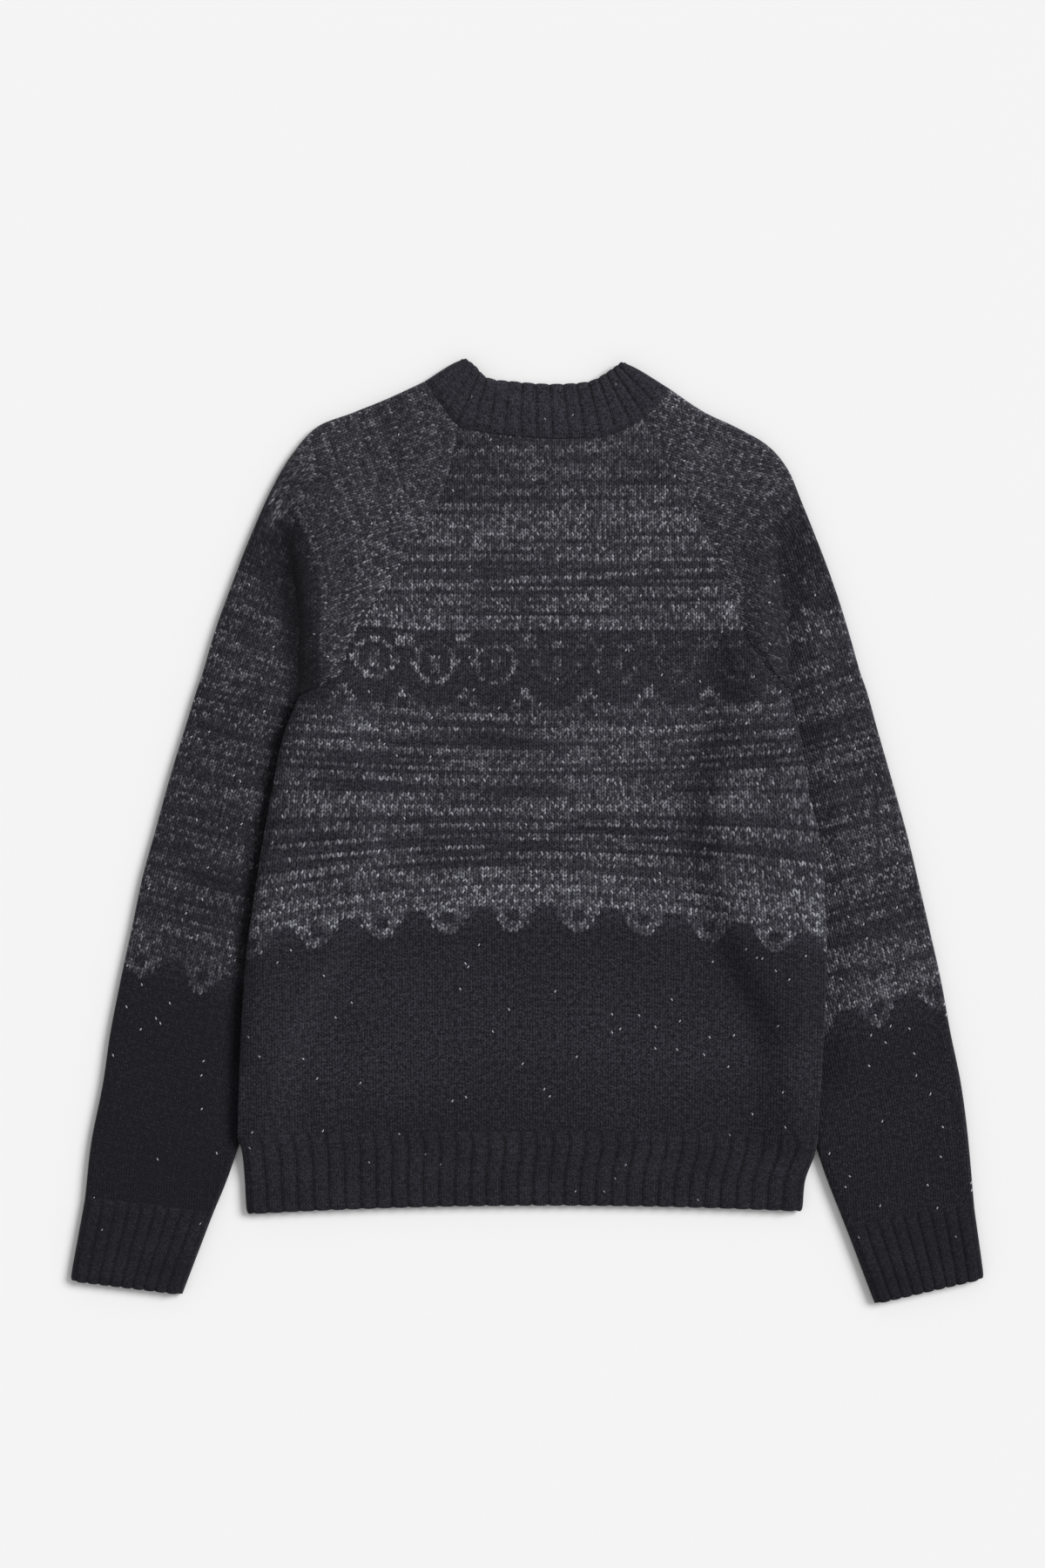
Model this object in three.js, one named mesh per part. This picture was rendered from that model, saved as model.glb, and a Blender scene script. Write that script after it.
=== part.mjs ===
// Fair isle jumper, a raglan pullover in chunky stranded knitting, laid flat with its back upwards.
// Millimetres, +Z up, the neck towards +Y, the origin on the floor under the middle of the outline.
// The body lies over the inner part of both sleeves, so it rises along its sides.
import * as THREE from 'three';

const { lerp, smoothstep, clamp } = THREE.MathUtils;

// Thickness of one layer of knitting, the clearance between layers and the one at a sewn seam
const PLY = 4;
const LAYER_GAP = 0.4;
const SEAM_GAP = 0.3;
const NECK_GAP = 0.75;

// Height of two layers, how far the body rises over a sleeve, and the rounding of a folded edge
const TWO_PLIES = 2 * PLY + LAYER_GAP;
const SLEEVE_LIFT = TWO_PLIES + LAYER_GAP;
const FOLD_RADIUS = TWO_PLIES / 2;
const CAVITY_BLEND = 15;

// Ribbing: crest height, the crest's share of a rib on each side of its middle, and the softened free edge
const RIB_HEIGHT = 1.6;
const CREST_START = 0.28;
const EDGE_SOFTENING = 1.2;
const HEM_RIBS = 35;
const CUFF_RIBS = 9;
const COLLAR_RIBS = 17;

// The sharp crease where the folded sleeve cap lies over the sleeve: widths of its rounded edge
const CREASE_EDGE = 6;
const CREASE_LIP = 2;
const CREASE_LIP_HEIGHT = 0.85;
const CREASE_ROOM = 30;

// Number of rows in which the body and the sleeves share the raglan seam
const RAGLAN_ROWS = 10;

// Colours of the yarn by piece
const BODY_COLOUR = 0x3b3c42;
const SLEEVE_COLOUR = 0x37373d;
const RIB_COLOUR = 0x2b2a30;

// Back neck seam and top edge of the collar, from the left fold to the right one
const BACK_NECK = curve([
  [-84.6, 371.2], [-72.4, 353.2], [-56.5, 334.4], [-32.8, 328], [10.4, 323.6],
  [39.2, 323.6], [68, 325.8], [95.4, 340.2], [109.1, 353.2], [117, 365.4],
]);
const BACK_COLLAR_TOP = curve([
  [-54.4, 391.3], [-43.6, 383.4], [-34.2, 374], [-11.2, 370.4], [24.8, 368.3],
  [53.6, 371.2], [65.9, 377.6], [81, 388.4],
]);

// The same two edges on the front, which lie lower and are hidden
const FRONT_NECK = curve([
  [-84.6, 371.2], [-74, 348], [-66, 326], [-60.8, 307.8], [-25.6, 290.5], [19.1, 285.5],
  [68, 292.7], [104.8, 318.6], [108, 337], [111.5, 352], [117, 365.4],
]);
const FRONT_COLLAR_TOP = curve([
  [-54.4, 391.3], [-41.4, 369], [-14.8, 347.4], [19.1, 340.2], [50, 348.8], [70.2, 370.4], [81, 388.4],
]);

// Body rows from the neck down: ends of the row, sag of its middle, and on each side the share of
// the sleeve's lift at the edge with the distances where the rise ends (ramp) and starts (foot)
const BODY_ROWS = [
  { leftX: -56.5, leftY: 334.4, rightX: 95.4, rightY: 340.2, sag: 12, lift: 0, ramp: 12, foot: 27 },
  { leftX: -60.8, leftY: 311.4, rightX: 106.2, rightY: 322.2, sag: 12, lift: 0, ramp: 13, foot: 30 },
  { leftX: -65.9, leftY: 289.8, rightX: 117.0, rightY: 303.5, sag: 11, lift: 0, ramp: 15, foot: 33 },
  { leftX: -73.8, leftY: 270.4, rightX: 127.8, rightY: 285.5, sag: 10, lift: 0, ramp: 16, foot: 36 },
  { leftX: -83.9, leftY: 250.2, rightX: 137.9, rightY: 267.5, sag: 9, lift: 0, ramp: 18, foot: 40 },
  { leftX: -96.8, leftY: 231.5, rightX: 147.2, rightY: 248.0, sag: 8, lift: 0, ramp: 18, foot: 42 },
  { leftX: -112.7, leftY: 207.7, rightX: 155.2, rightY: 227.9, sag: 7, lift: 0, ramp: 16, foot: 40 },
  { leftX: -130.7, leftY: 181.8, rightX: 163.1, rightY: 206.3, sag: 6, lift: 0.1, ramp: 13, foot: 34 },
  { leftX: -147.2, leftY: 154.4, rightX: 172.4, rightY: 181.8, sag: 5, lift: 0.4, ramp: 11, foot: 30 },
  { leftX: -154.4, leftY: 127.8, rightX: 190.4, rightY: 144.4, sag: 4, lift: 0.9, ramp: 14, foot: 42 },
  { leftX: -189.0, leftY: 109.8, rightX: 216.4, rightY: 113.4, sag: 3, lift: 1, ramp: 22, foot: 70 },
  { leftX: -202.7, leftY: 73.8, rightX: 225.7, rightY: 73.8, sag: 2, lift: 1, ramp: 49, foot: 78 },
  { leftX: -210.6, leftY: 34.2, rightX: 232.2, rightY: 34.2, sag: 0, lift: 1, ramp: 71, foot: 88 },
  { leftX: -218.5, leftY: -9.0, rightX: 241.6, rightY: -9.0, sag: -1, lift: 1, ramp: 81, foot: 98 },
  { leftX: -225.7, leftY: -55.8, rightX: 245.9, rightY: -55.8, sag: -2, lift: 1, ramp: 81, foot: 97 },
  { leftX: -232.2, leftY: -102.6, rightX: 247.3, rightY: -102.6, sag: -2, lift: 1, ramp: 66, foot: 81 },
  { leftX: -235.8, leftY: -153.0, rightX: 245.9, rightY: -153.0, sag: -3, lift: 1, ramp: 39, foot: 54 },
  { leftX: -238.0, leftY: -203.4, rightX: 243.0, rightY: -203.4, sag: -3, lift: 1, ramp: 25, foot: 40 },
  { leftX: -239.4, leftY: -252.4, rightX: 240.1, rightY: -252.4, sag: -3, lift: 1, ramp: 12, foot: 60 },
];

// The front's first rows, which stop at its deeper neckline; the others are the back's rows
const FRONT_TOP_ROWS = [
  { leftX: -60.8, leftY: 307.8, rightX: 104.8, rightY: 318.6, sag: 25, lift: 0, ramp: 13, foot: 30 },
  { leftX: -64.4, leftY: 295.6, rightX: 113.4, rightY: 306.4, sag: 20, lift: 0, ramp: 14, foot: 32 },
  { leftX: -68.8, leftY: 282.6, rightX: 120.6, rightY: 296.3, sag: 14, lift: 0, ramp: 15, foot: 34 },
];
const FRONT_ROWS = [...FRONT_TOP_ROWS, ...BODY_ROWS.slice(FRONT_TOP_ROWS.length)];

// Welt rows from the hem seam to the free edge; the lift fades where the sleeve comes out from under it
const WELT_RAMP = 12;
const WELT_FOOT = 60;
const HEM_ROWS = [
  { leftX: -239.4, leftY: -252.4, rightX: 240.1, rightY: -252.4, sag: -3, lift: 1, rib: 0.3 },
  { leftX: -235.8, leftY: -268.2, rightX: 238.0, rightY: -268.2, sag: -4, lift: 0.4, rib: 1 },
  { leftX: -234.0, leftY: -290.0, rightX: 230.2, rightY: -290.0, sag: -5, lift: 0, rib: 1 },
  { leftX: -232.6, leftY: -313.6, rightX: 228.0, rightY: -311.6, sag: -6, lift: 0, rib: 1 },
  { leftX: -230.4, leftY: -317.2, rightX: 226.2, rightY: -315.0, sag: -6, lift: 0, rib: 1 },
].map((row) => ({ ...row, ramp: WELT_RAMP, foot: WELT_FOOT }));

// Sleeve rows from the neck down: the end at the raglan seam or, below it, at the hidden inner fold,
// the end at the outer fold, where the crease crosses the row as a share of its width, and the height
// of the folded cap at the seam and at the crease as shares of the lift
const LEFT_SLEEVE_ROWS = [
  { inX: -56.5, inY: 334.4, outX: -84.6, outY: 371.2, crease: 0.6, seamLift: 0, creaseLift: 0 },
  { inX: -60.8, inY: 311.4, outX: -114.1, outY: 357.5, crease: 0.63, seamLift: 0, creaseLift: 0 },
  { inX: -65.9, inY: 289.8, outX: -144.4, outY: 345.2, crease: 0.66, seamLift: 0, creaseLift: 0 },
  { inX: -73.8, inY: 270.4, outX: -174.6, outY: 333.0, crease: 0.7, seamLift: 0, creaseLift: 0 },
  { inX: -83.9, inY: 250.2, outX: -196.2, outY: 308.5, crease: 0.75, seamLift: 0, creaseLift: 0 },
  { inX: -96.8, inY: 231.5, outX: -209.9, outY: 285.5, crease: 0.77, seamLift: 0, creaseLift: 0.15 },
  { inX: -112.7, inY: 207.7, outX: -222.1, outY: 259.6, crease: 0.75, seamLift: 0, creaseLift: 0.5 },
  { inX: -130.7, inY: 181.8, outX: -233.6, outY: 232.2, crease: 0.61, seamLift: 0.1, creaseLift: 0.85 },
  { inX: -147.2, inY: 154.4, outX: -245.9, outY: 199.8, crease: 0.42, seamLift: 0.4, creaseLift: 1 },
  { inX: -154.4, inY: 127.8, outX: -258.1, outY: 166.0, crease: 0.34, seamLift: 0.9, creaseLift: 1 },
  { inX: -189.3, inY: 109.8, outX: -269.6, outY: 127.1, crease: 0.06, seamLift: 0, creaseLift: 0 },
  { inX: -170.3, inY: 84.6, outX: -275.4, outY: 110.5, crease: 0.28, seamLift: 0, creaseLift: 0 },
  { inX: -153.0, inY: 52.2, outX: -282.6, outY: 86.8, crease: 0.41, seamLift: 0, creaseLift: 0 },
  { inX: -145.1, inY: 1.8, outX: -296.3, outY: 42.1, crease: 0.47, seamLift: 0, creaseLift: 0 },
  { inX: -149.4, inY: -45.0, outX: -308.5, outY: -2.5, crease: 0.46, seamLift: 0, creaseLift: 0 },
  { inX: -162.4, inY: -81.0, outX: -318.6, outY: -39.2, crease: 0.43, seamLift: 0, creaseLift: 0 },
  { inX: -185.4, inY: -118.4, outX: -327.2, outY: -80.3, crease: 0.34, seamLift: 0, creaseLift: 0 },
  { inX: -207.0, inY: -158.0, outX: -336.6, outY: -123.5, crease: 0.25, seamLift: 0, creaseLift: 0 },
  { inX: -220.0, inY: -201.2, outX: -345.2, outY: -167.4, crease: 0.2, seamLift: 0, creaseLift: 0 },
  { inX: -232.9, inY: -243.0, outX: -351.7, outY: -211.3, crease: 0.2, seamLift: 0, creaseLift: 0 },
  { inX: -247.3, inY: -286.2, outX: -361.1, outY: -258.8, crease: 0.2, seamLift: 0, creaseLift: 0 },
  { inX: -259.6, inY: -316.4, outX: -366.1, outY: -303.5, crease: 0.2, seamLift: 0, creaseLift: 0 },
];
const RIGHT_SLEEVE_ROWS = [
  { inX: 95.4, inY: 340.2, outX: 117.0, outY: 365.4, crease: 0.6, seamLift: 0, creaseLift: 0 },
  { inX: 106.2, inY: 322.2, outX: 145.8, outY: 346.0, crease: 0.63, seamLift: 0, creaseLift: 0 },
  { inX: 117.0, inY: 303.5, outX: 173.2, outY: 333.0, crease: 0.66, seamLift: 0, creaseLift: 0 },
  { inX: 127.8, inY: 285.5, outX: 199.1, outY: 317.9, crease: 0.7, seamLift: 0, creaseLift: 0 },
  { inX: 137.9, inY: 267.5, outX: 215.6, outY: 298.4, crease: 0.72, seamLift: 0, creaseLift: 0 },
  { inX: 147.2, inY: 248.0, outX: 226.4, outY: 273.2, crease: 0.73, seamLift: 0, creaseLift: 0.1 },
  { inX: 155.2, inY: 227.9, outX: 238.0, outY: 244.4, crease: 0.62, seamLift: 0, creaseLift: 0.4 },
  { inX: 163.1, inY: 206.3, outX: 248.8, outY: 216.4, crease: 0.53, seamLift: 0.1, creaseLift: 0.8 },
  { inX: 172.4, inY: 181.8, outX: 258.8, outY: 187.6, crease: 0.46, seamLift: 0.4, creaseLift: 1 },
  { inX: 190.4, inY: 144.4, outX: 267.5, outY: 158.8, crease: 0.32, seamLift: 0.9, creaseLift: 1 },
  { inX: 216.7, inY: 113.4, outX: 275.4, outY: 130.7, crease: 0.06, seamLift: 0, creaseLift: 0 },
  { inX: 195.5, inY: 84.6, outX: 281.9, outY: 112.0, crease: 0.33, seamLift: 0, creaseLift: 0 },
  { inX: 175.3, inY: 52.2, outX: 289.8, outY: 83.2, crease: 0.47, seamLift: 0, creaseLift: 0 },
  { inX: 167.4, inY: 1.8, outX: 302.8, outY: 37.8, crease: 0.52, seamLift: 0, creaseLift: 0 },
  { inX: 170.3, inY: -45.0, outX: 315.0, outY: -6.1, crease: 0.5, seamLift: 0, creaseLift: 0 },
  { inX: 178.9, inY: -81.0, outX: 323.6, outY: -42.1, crease: 0.45, seamLift: 0, creaseLift: 0 },
  { inX: 199.1, inY: -118.4, outX: 333.0, outY: -82.4, crease: 0.35, seamLift: 0, creaseLift: 0 },
  { inX: 217.1, inY: -158.0, outX: 342.4, outY: -124.2, crease: 0.25, seamLift: 0, creaseLift: 0 },
  { inX: 225.0, inY: -201.2, outX: 350.3, outY: -167.4, crease: 0.2, seamLift: 0, creaseLift: 0 },
  { inX: 233.6, inY: -243.0, outX: 358.9, outY: -209.2, crease: 0.2, seamLift: 0, creaseLift: 0 },
  { inX: 245.9, inY: -283.3, outX: 364.7, outY: -252.4, crease: 0.2, seamLift: 0, creaseLift: 0 },
  { inX: 263.2, inY: -328.0, outX: 369.7, outY: -307.8, crease: 0.2, seamLift: 0, creaseLift: 0 },
];

// Cuff rows from the sleeve to the free edge
const LEFT_CUFF_ROWS = [
  { inX: -259.6, inY: -316.4, outX: -366.1, outY: -303.5, rib: 0.3 },
  { inX: -263.6, inY: -326.6, outX: -367.8, outY: -314.0, rib: 1 },
  { inX: -283.6, inY: -379.0, outX: -377.4, outY: -367.2, rib: 1 },
  { inX: -285.2, inY: -383.4, outX: -376.4, outY: -372.4, rib: 1 },
];
const RIGHT_CUFF_ROWS = [
  { inX: 263.2, inY: -328.0, outX: 369.7, outY: -307.8, rib: 0.3 },
  { inX: 267.2, inY: -338.2, outX: 370.8, outY: -318.0, rib: 1 },
  { inX: 285.6, inY: -386.8, outX: 377.4, outY: -366.0, rib: 1 },
  { inX: 287.6, inY: -391.3, outX: 376.4, outY: -370.6, rib: 1 },
];

// Collar rows as shares of its height, with the share of the rib height that each one shows
const COLLAR_ROWS = [
  { height: 0, rib: 0.4 }, { height: 0.2, rib: 1 }, { height: 0.4, rib: 1 },
  { height: 0.65, rib: 1 }, { height: 0.93, rib: 1 }, { height: 1, rib: 1 },
];
const COLLAR_DROP_START = 5;
const COLLAR_DROP_WIDTH = 12;

// Soft creases in the top surface: ends, half width, and height, which is negative for a trough
const SOFT_FOLDS = [
  { x0: -157, y0: -160, x1: -150, y1: -250, width: 12, height: -1.2 },
  { x0: 224, y0: 205, x1: 221, y1: 150, width: 9, height: -1.3 },
  { x0: 236, y0: 150, x1: 250, y1: 60, width: 14, height: 1 },
  { x0: -262, y0: 70, x1: -300, y1: -60, width: 14, height: 1 },
  { x0: 258, y0: -30, x1: 262, y1: -150, width: 12, height: -1 },
  { x0: -120, y0: 120, x1: -60, y1: 60, width: 16, height: 1 },
  { x0: 60, y0: -150, x1: 90, y1: -230, width: 18, height: -0.8 },
  { x0: -110, y0: 250, x1: -150, y1: 290, width: 15, height: 1 },
];

// Numbers of steps across the pieces
const LEVEL_STEPS = 3;
const RAMP_STEPS = 3;
const WELT_RAMP_STEPS = 8;
const BODY_MIDDLE_STEPS = 14;
const CAP_STEPS = 3;
const ARM_STEPS = 6;
const UNDER_STEPS = 8;
const COLLAR_UNDER_STEPS = 30;
const CURVE_SAMPLES = 1000;
const COLLAR_EDGE_SAMPLES = 60;

function curve(points) {
  return new THREE.CatmullRomCurve3(points.map(([x, y]) => new THREE.Vector3(x, y, 0)), false, 'centripetal');
}

function at(x, y, z) {
  return new THREE.Vector3(x, y, z);
}

// The share of a curve's length at which it comes nearest to a point
function shareNear(line, point) {
  const distance = (k) => line.getPointAt(k / CURVE_SAMPLES).distanceTo(point);
  let best = 0;
  for (let k = 1; k <= CURVE_SAMPLES; k += 1) {
    if (distance(k) < distance(best)) best = k;
  }
  return best / CURVE_SAMPLES;
}

// How much of a soft step is left at a share of its width
function fade(share) {
  return 1 - smoothstep(share, 0, 1);
}

// Height that the soft creases add to the top surface at a point
function softFold(point) {
  let height = 0;
  for (const fold of SOFT_FOLDS) {
    const start = at(fold.x0, fold.y0, 0);
    const line = new THREE.Line3(start, at(fold.x1, fold.y1, 0));
    const flat = at(point.x, point.y, 0);
    const nearest = line.closestPointToPoint(flat, true, new THREE.Vector3());
    const reach = nearest.distanceTo(flat) / (2 * fold.width);
    height += fold.height * fade(clamp(reach, 0, 1));
  }
  return height;
}

// How far the inside of a folded wall lies from the edge, for a point of its outside
function insideDistance(distance) {
  return distance + PLY * fade(distance / CAVITY_BLEND);
}

// The same for a row that is folded at both ends
function foldedInside(distance, width) {
  return distance < width / 2 ? insideDistance(distance) : width - insideDistance(width - distance);
}

// Distances from a folded edge round to the flat, with the share of the height reached there
function foldSteps(scale = 1) {
  return [0, 45, 90].map((degrees) => {
    const angle = degrees * THREE.MathUtils.DEG2RAD;
    return { distance: FOLD_RADIUS * (1 - Math.cos(angle)) * scale, rise: Math.sin(angle) };
  });
}

// Places of the grooves and crests of a row of ribs, as shares of its length
function ribSteps(count) {
  const steps = [];
  for (let rib = 0; rib < count; rib += 1) {
    steps.push({ share: rib / count, crest: 0 });
    steps.push({ share: (rib + CREST_START) / count, crest: 1 });
    steps.push({ share: (rib + 1 - CREST_START) / count, crest: 1 });
  }
  steps.push({ share: 1, crest: 0 });
  return steps;
}

// Steps across a ribbed row with both of its folded edges
function ribbedSteps(width, count) {
  const folds = foldSteps().slice(0, -1).map((step) => ({ ...step, crest: 0 }));
  const farFolds = folds.map((step) => ({ ...step, distance: width - step.distance })).reverse();
  const ribs = ribSteps(count).map(({ share, crest }) => (
    { distance: lerp(FOLD_RADIUS, width - FOLD_RADIUS, share), rise: 1, crest }));
  return [...folds, ...ribs, ...farFolds];
}

// A closed body between an outside and an inside grid of points, open or joined into a ring
function wall(name, colour, outside, inside, ring = false) {
  const rows = outside.length;
  const columns = outside[0].length;
  const points = [...outside.flat(), ...inside.flat()];
  const side = rows * columns;
  const faces = [];
  const quad = (a, b, c, d) => faces.push(a, b, c, a, c, d);
  const last = ring ? columns : columns - 1;
  for (let column = 0; column < last; column += 1) {
    const next = (column + 1) % columns;
    for (let row = 0; row + 1 < rows; row += 1) {
      const a = row * columns + column;
      const b = row * columns + next;
      quad(a, b, b + columns, a + columns);
      faces.push(side + a, side + b + columns, side + b, side + a, side + a + columns, side + b + columns);
    }
    const end = (rows - 1) * columns;
    quad(side + column, side + next, next, column);
    quad(end + column, end + next, side + end + next, side + end + column);
  }
  if (!ring) {
    for (let row = 0; row + 1 < rows; row += 1) {
      const a = row * columns;
      const b = a + columns - 1;
      quad(a, a + columns, side + a + columns, side + a);
      quad(side + b, side + b + columns, b + columns, b);
    }
  }
  const geometry = new THREE.BufferGeometry();
  geometry.setAttribute('position', new THREE.Float32BufferAttribute(points.flatMap((p) => p.toArray()), 3));
  geometry.setIndex(volume(points, faces) < 0 ? faces.reverse() : faces);
  geometry.computeVertexNormals();
  const material = new THREE.MeshStandardMaterial({ color: colour, roughness: 0.95, metalness: 0 });
  const mesh = new THREE.Mesh(geometry, material);
  mesh.name = name;
  return mesh;
}

function volume(points, faces) {
  let sum = 0;
  for (let i = 0; i < faces.length; i += 3) {
    const [a, b, c] = [points[faces[i]], points[faces[i + 1]], points[faces[i + 2]]];
    sum += a.dot(new THREE.Vector3().crossVectors(b, c));
  }
  return sum;
}

// Draws the first or last row back from its seam, towards its neighbour, by half the seam's clearance
function drawBack(grid, row, neighbour, clearance) {
  grid[row].forEach((point, column) => {
    const way = grid[neighbour][column].clone().sub(point).setZ(0).normalize();
    point.addScaledVector(way, clearance / 2);
  });
}

// The same at both ends of a piece that hangs from the neck
function drawBackEnds(grid) {
  const last = grid.length - 1;
  drawBack(grid, 0, 1, NECK_GAP);
  drawBack(grid, last, last - 1, SEAM_GAP);
}

// The raglan seam's points, moved sideways by half the seam's clearance, to the given side
function raglanLine(rows, xKey, yKey, side) {
  const line = rows.slice(0, RAGLAN_ROWS + 1).map((row) => at(row[xKey], row[yKey], 0));
  return line.map((point, i) => {
    const along = line[Math.min(i + 1, RAGLAN_ROWS)].clone().sub(line[Math.max(i - 1, 0)]).normalize();
    return at(point.x - along.y * side * SEAM_GAP / 2, point.y + along.x * side * SEAM_GAP / 2, 0);
  });
}

// The share of the lift at a distance from the nearest side of a body row
function liftAt(row, fromEdge) {
  return row.lift * fade(clamp((fromEdge - row.ramp) / (row.foot - row.ramp), 0, 1));
}

// Steps from one edge of the body inwards, over the part on the sleeve and down the rise beside it
function bodyEdgeSteps(row, rampSteps) {
  const steps = foldSteps();
  for (let i = 1; i <= LEVEL_STEPS; i += 1) {
    steps.push({ distance: lerp(FOLD_RADIUS, row.ramp, i / LEVEL_STEPS), rise: 1 });
  }
  for (let i = 1; i <= rampSteps; i += 1) {
    steps.push({ distance: lerp(row.ramp, row.foot, i / rampSteps), rise: 1 });
  }
  return steps;
}

// Steps across a whole body row, each with its distance from the left end
function bodySteps(row, width, rampSteps) {
  const left = bodyEdgeSteps(row, rampSteps);
  const middle = [];
  for (let i = 1; i < BODY_MIDDLE_STEPS; i += 1) {
    middle.push({ distance: lerp(row.foot, width - row.foot, i / BODY_MIDDLE_STEPS), rise: 1 });
  }
  const right = left.map((step) => ({ ...step, distance: width - step.distance }));
  return [...left, ...middle, ...right.reverse()];
}

// A point on a body row at a share of its width
function onBodyRow(left, right, sag, share) {
  const point = left.clone().lerp(right, share);
  point.y -= sag * 4 * share * (1 - share);
  return point;
}

// Both grids of a body panel; the back has its outside on top, the front has it underneath
function bodyPanel(rows, neck, isBack) {
  const leftSeam = raglanLine(rows, 'leftX', 'leftY', 1);
  const rightSeam = raglanLine(rows, 'rightX', 'rightY', -1);
  const leftCorner = shareNear(neck, leftSeam[0]);
  const rightCorner = shareNear(neck, rightSeam[0]);
  const leftMiss = leftSeam[0].clone().sub(neck.getPointAt(leftCorner));
  const rightMiss = rightSeam[0].clone().sub(neck.getPointAt(rightCorner));
  const outside = [];
  const inside = [];
  rows.forEach((row, i) => {
    const left = i < RAGLAN_ROWS ? leftSeam[i] : at(row.leftX, row.leftY, 0);
    const right = i < RAGLAN_ROWS ? rightSeam[i] : at(row.rightX, row.rightY, 0);
    const width = left.distanceTo(right);
    const place = (distance) => {
      const share = distance / width;
      if (i > 0) return onBodyRow(left, right, row.sag, share);
      const miss = leftMiss.clone().lerp(rightMiss, share);
      return neck.getPointAt(lerp(leftCorner, rightCorner, share)).add(miss);
    };
    const kind = { folded: i >= RAGLAN_ROWS, isBack, rampSteps: RAMP_STEPS };
    const grids = bodyRowPoints(row, width, place, kind);
    outside.push(grids.outside);
    inside.push(grids.inside);
  });
  return { outside, inside };
}

// One row of a body panel or of a plain welt, outside and inside; where its side edges aren't folded
// they meet the raglan seams, and the front lies on the floor
function bodyRowPoints(row, width, place, { folded, isBack, rampSteps }) {
  const outside = [];
  const inside = [];
  for (const step of bodySteps(row, width, rampSteps)) {
    const rise = folded ? step.rise : 1;
    const innerAt = folded ? foldedInside(step.distance, width) : step.distance;
    const outer = place(step.distance);
    const inner = place(innerAt);
    const raised = SLEEVE_LIFT * liftAt(row, Math.min(step.distance, width - step.distance));
    const innerRaised = SLEEVE_LIFT * liftAt(row, Math.min(innerAt, width - innerAt));
    const middle = raised + PLY + LAYER_GAP / 2;
    if (isBack) {
      outer.z = lerp(middle + SEAM_GAP / 2, raised + TWO_PLIES + softFold(outer), rise);
      inner.z = innerRaised + PLY + LAYER_GAP;
    } else {
      outer.z = lerp(middle - SEAM_GAP / 2, folded ? raised : 0, rise);
      inner.z = innerRaised + PLY;
    }
    outside.push(outer);
    inside.push(inner);
  }
  return { outside, inside };
}

function back() {
  const { outside, inside } = bodyPanel(BODY_ROWS, BACK_NECK, true);
  for (const grid of [outside, inside]) drawBackEnds(grid);
  return wall('back', BODY_COLOUR, outside, inside);
}

function front() {
  const { outside, inside } = bodyPanel(FRONT_ROWS, FRONT_NECK, false);
  for (const grid of [outside, inside]) drawBackEnds(grid);
  return wall('front', BODY_COLOUR, outside, inside);
}

// The front's welt lies flat, so its ribs don't show and it is plain
function hemRibFront() {
  const outside = [];
  const inside = [];
  const kind = { folded: true, isBack: false, rampSteps: WELT_RAMP_STEPS };
  for (const row of HEM_ROWS) {
    const left = at(row.leftX, row.leftY, 0);
    const right = at(row.rightX, row.rightY, 0);
    const width = left.distanceTo(right);
    const place = (distance) => onBodyRow(left, right, row.sag, distance / width);
    const grids = bodyRowPoints(row, width, place, kind);
    outside.push(grids.outside);
    inside.push(grids.inside);
  }
  for (const grid of [outside, inside]) drawBack(grid, 0, 1, SEAM_GAP);
  return wall('hem_rib_front', RIB_COLOUR, outside, inside);
}

// Softens the free edge of ribbing in the last row
function edgeDrop(i, rows) {
  return i === rows.length - 1 ? EDGE_SOFTENING : 0;
}

function hemRibBack() {
  const outside = [];
  const inside = [];
  HEM_ROWS.forEach((row, i) => {
    const left = at(row.leftX, row.leftY, 0);
    const right = at(row.rightX, row.rightY, 0);
    const width = left.distanceTo(right);
    const outerRow = [];
    const innerRow = [];
    for (const step of ribbedSteps(width, HEM_RIBS)) {
      const innerAt = foldedInside(step.distance, width);
      const raised = SLEEVE_LIFT * liftAt(row, Math.min(step.distance, width - step.distance));
      const outer = onBodyRow(left, right, row.sag, step.distance / width);
      const inner = onBodyRow(left, right, row.sag, innerAt / width);
      const top = raised + TWO_PLIES + RIB_HEIGHT * row.rib * step.crest - edgeDrop(i, HEM_ROWS);
      outer.z = lerp(raised + PLY + LAYER_GAP / 2 + SEAM_GAP / 2, top, step.rise);
      inner.z = SLEEVE_LIFT * liftAt(row, Math.min(innerAt, width - innerAt)) + PLY + LAYER_GAP;
      outerRow.push(outer);
      innerRow.push(inner);
    }
    outside.push(outerRow);
    inside.push(innerRow);
  });
  for (const grid of [outside, inside]) drawBack(grid, 0, 1, SEAM_GAP);
  return wall('hem_rib_back', RIB_COLOUR, outside, inside);
}

// Steps over a sleeve row from its inner end over the crease to the outer fold
function sleeveTopSteps(width, toCrease) {
  const scale = Math.min(1, toCrease / CREASE_ROOM);
  const high = toCrease - CREASE_EDGE * scale;
  const steps = foldSteps(scale).map((step) => ({ ...step, nearSeam: true, over: 1 }));
  for (let i = 1; i <= CAP_STEPS; i += 1) {
    steps.push({ distance: lerp(FOLD_RADIUS * scale, high, i / CAP_STEPS), rise: 1, over: 1 });
  }
  steps.push({ distance: toCrease - CREASE_LIP * scale, rise: 1, over: CREASE_LIP_HEIGHT });
  steps.push({ distance: toCrease, rise: 1, over: 0 });
  for (let i = 1; i < ARM_STEPS; i += 1) {
    steps.push({ distance: lerp(toCrease, width - FOLD_RADIUS, i / ARM_STEPS), rise: 1, over: 0 });
  }
  for (const step of foldSteps().reverse()) {
    steps.push({ distance: width - step.distance, rise: step.rise, over: 0 });
  }
  return steps;
}

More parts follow.
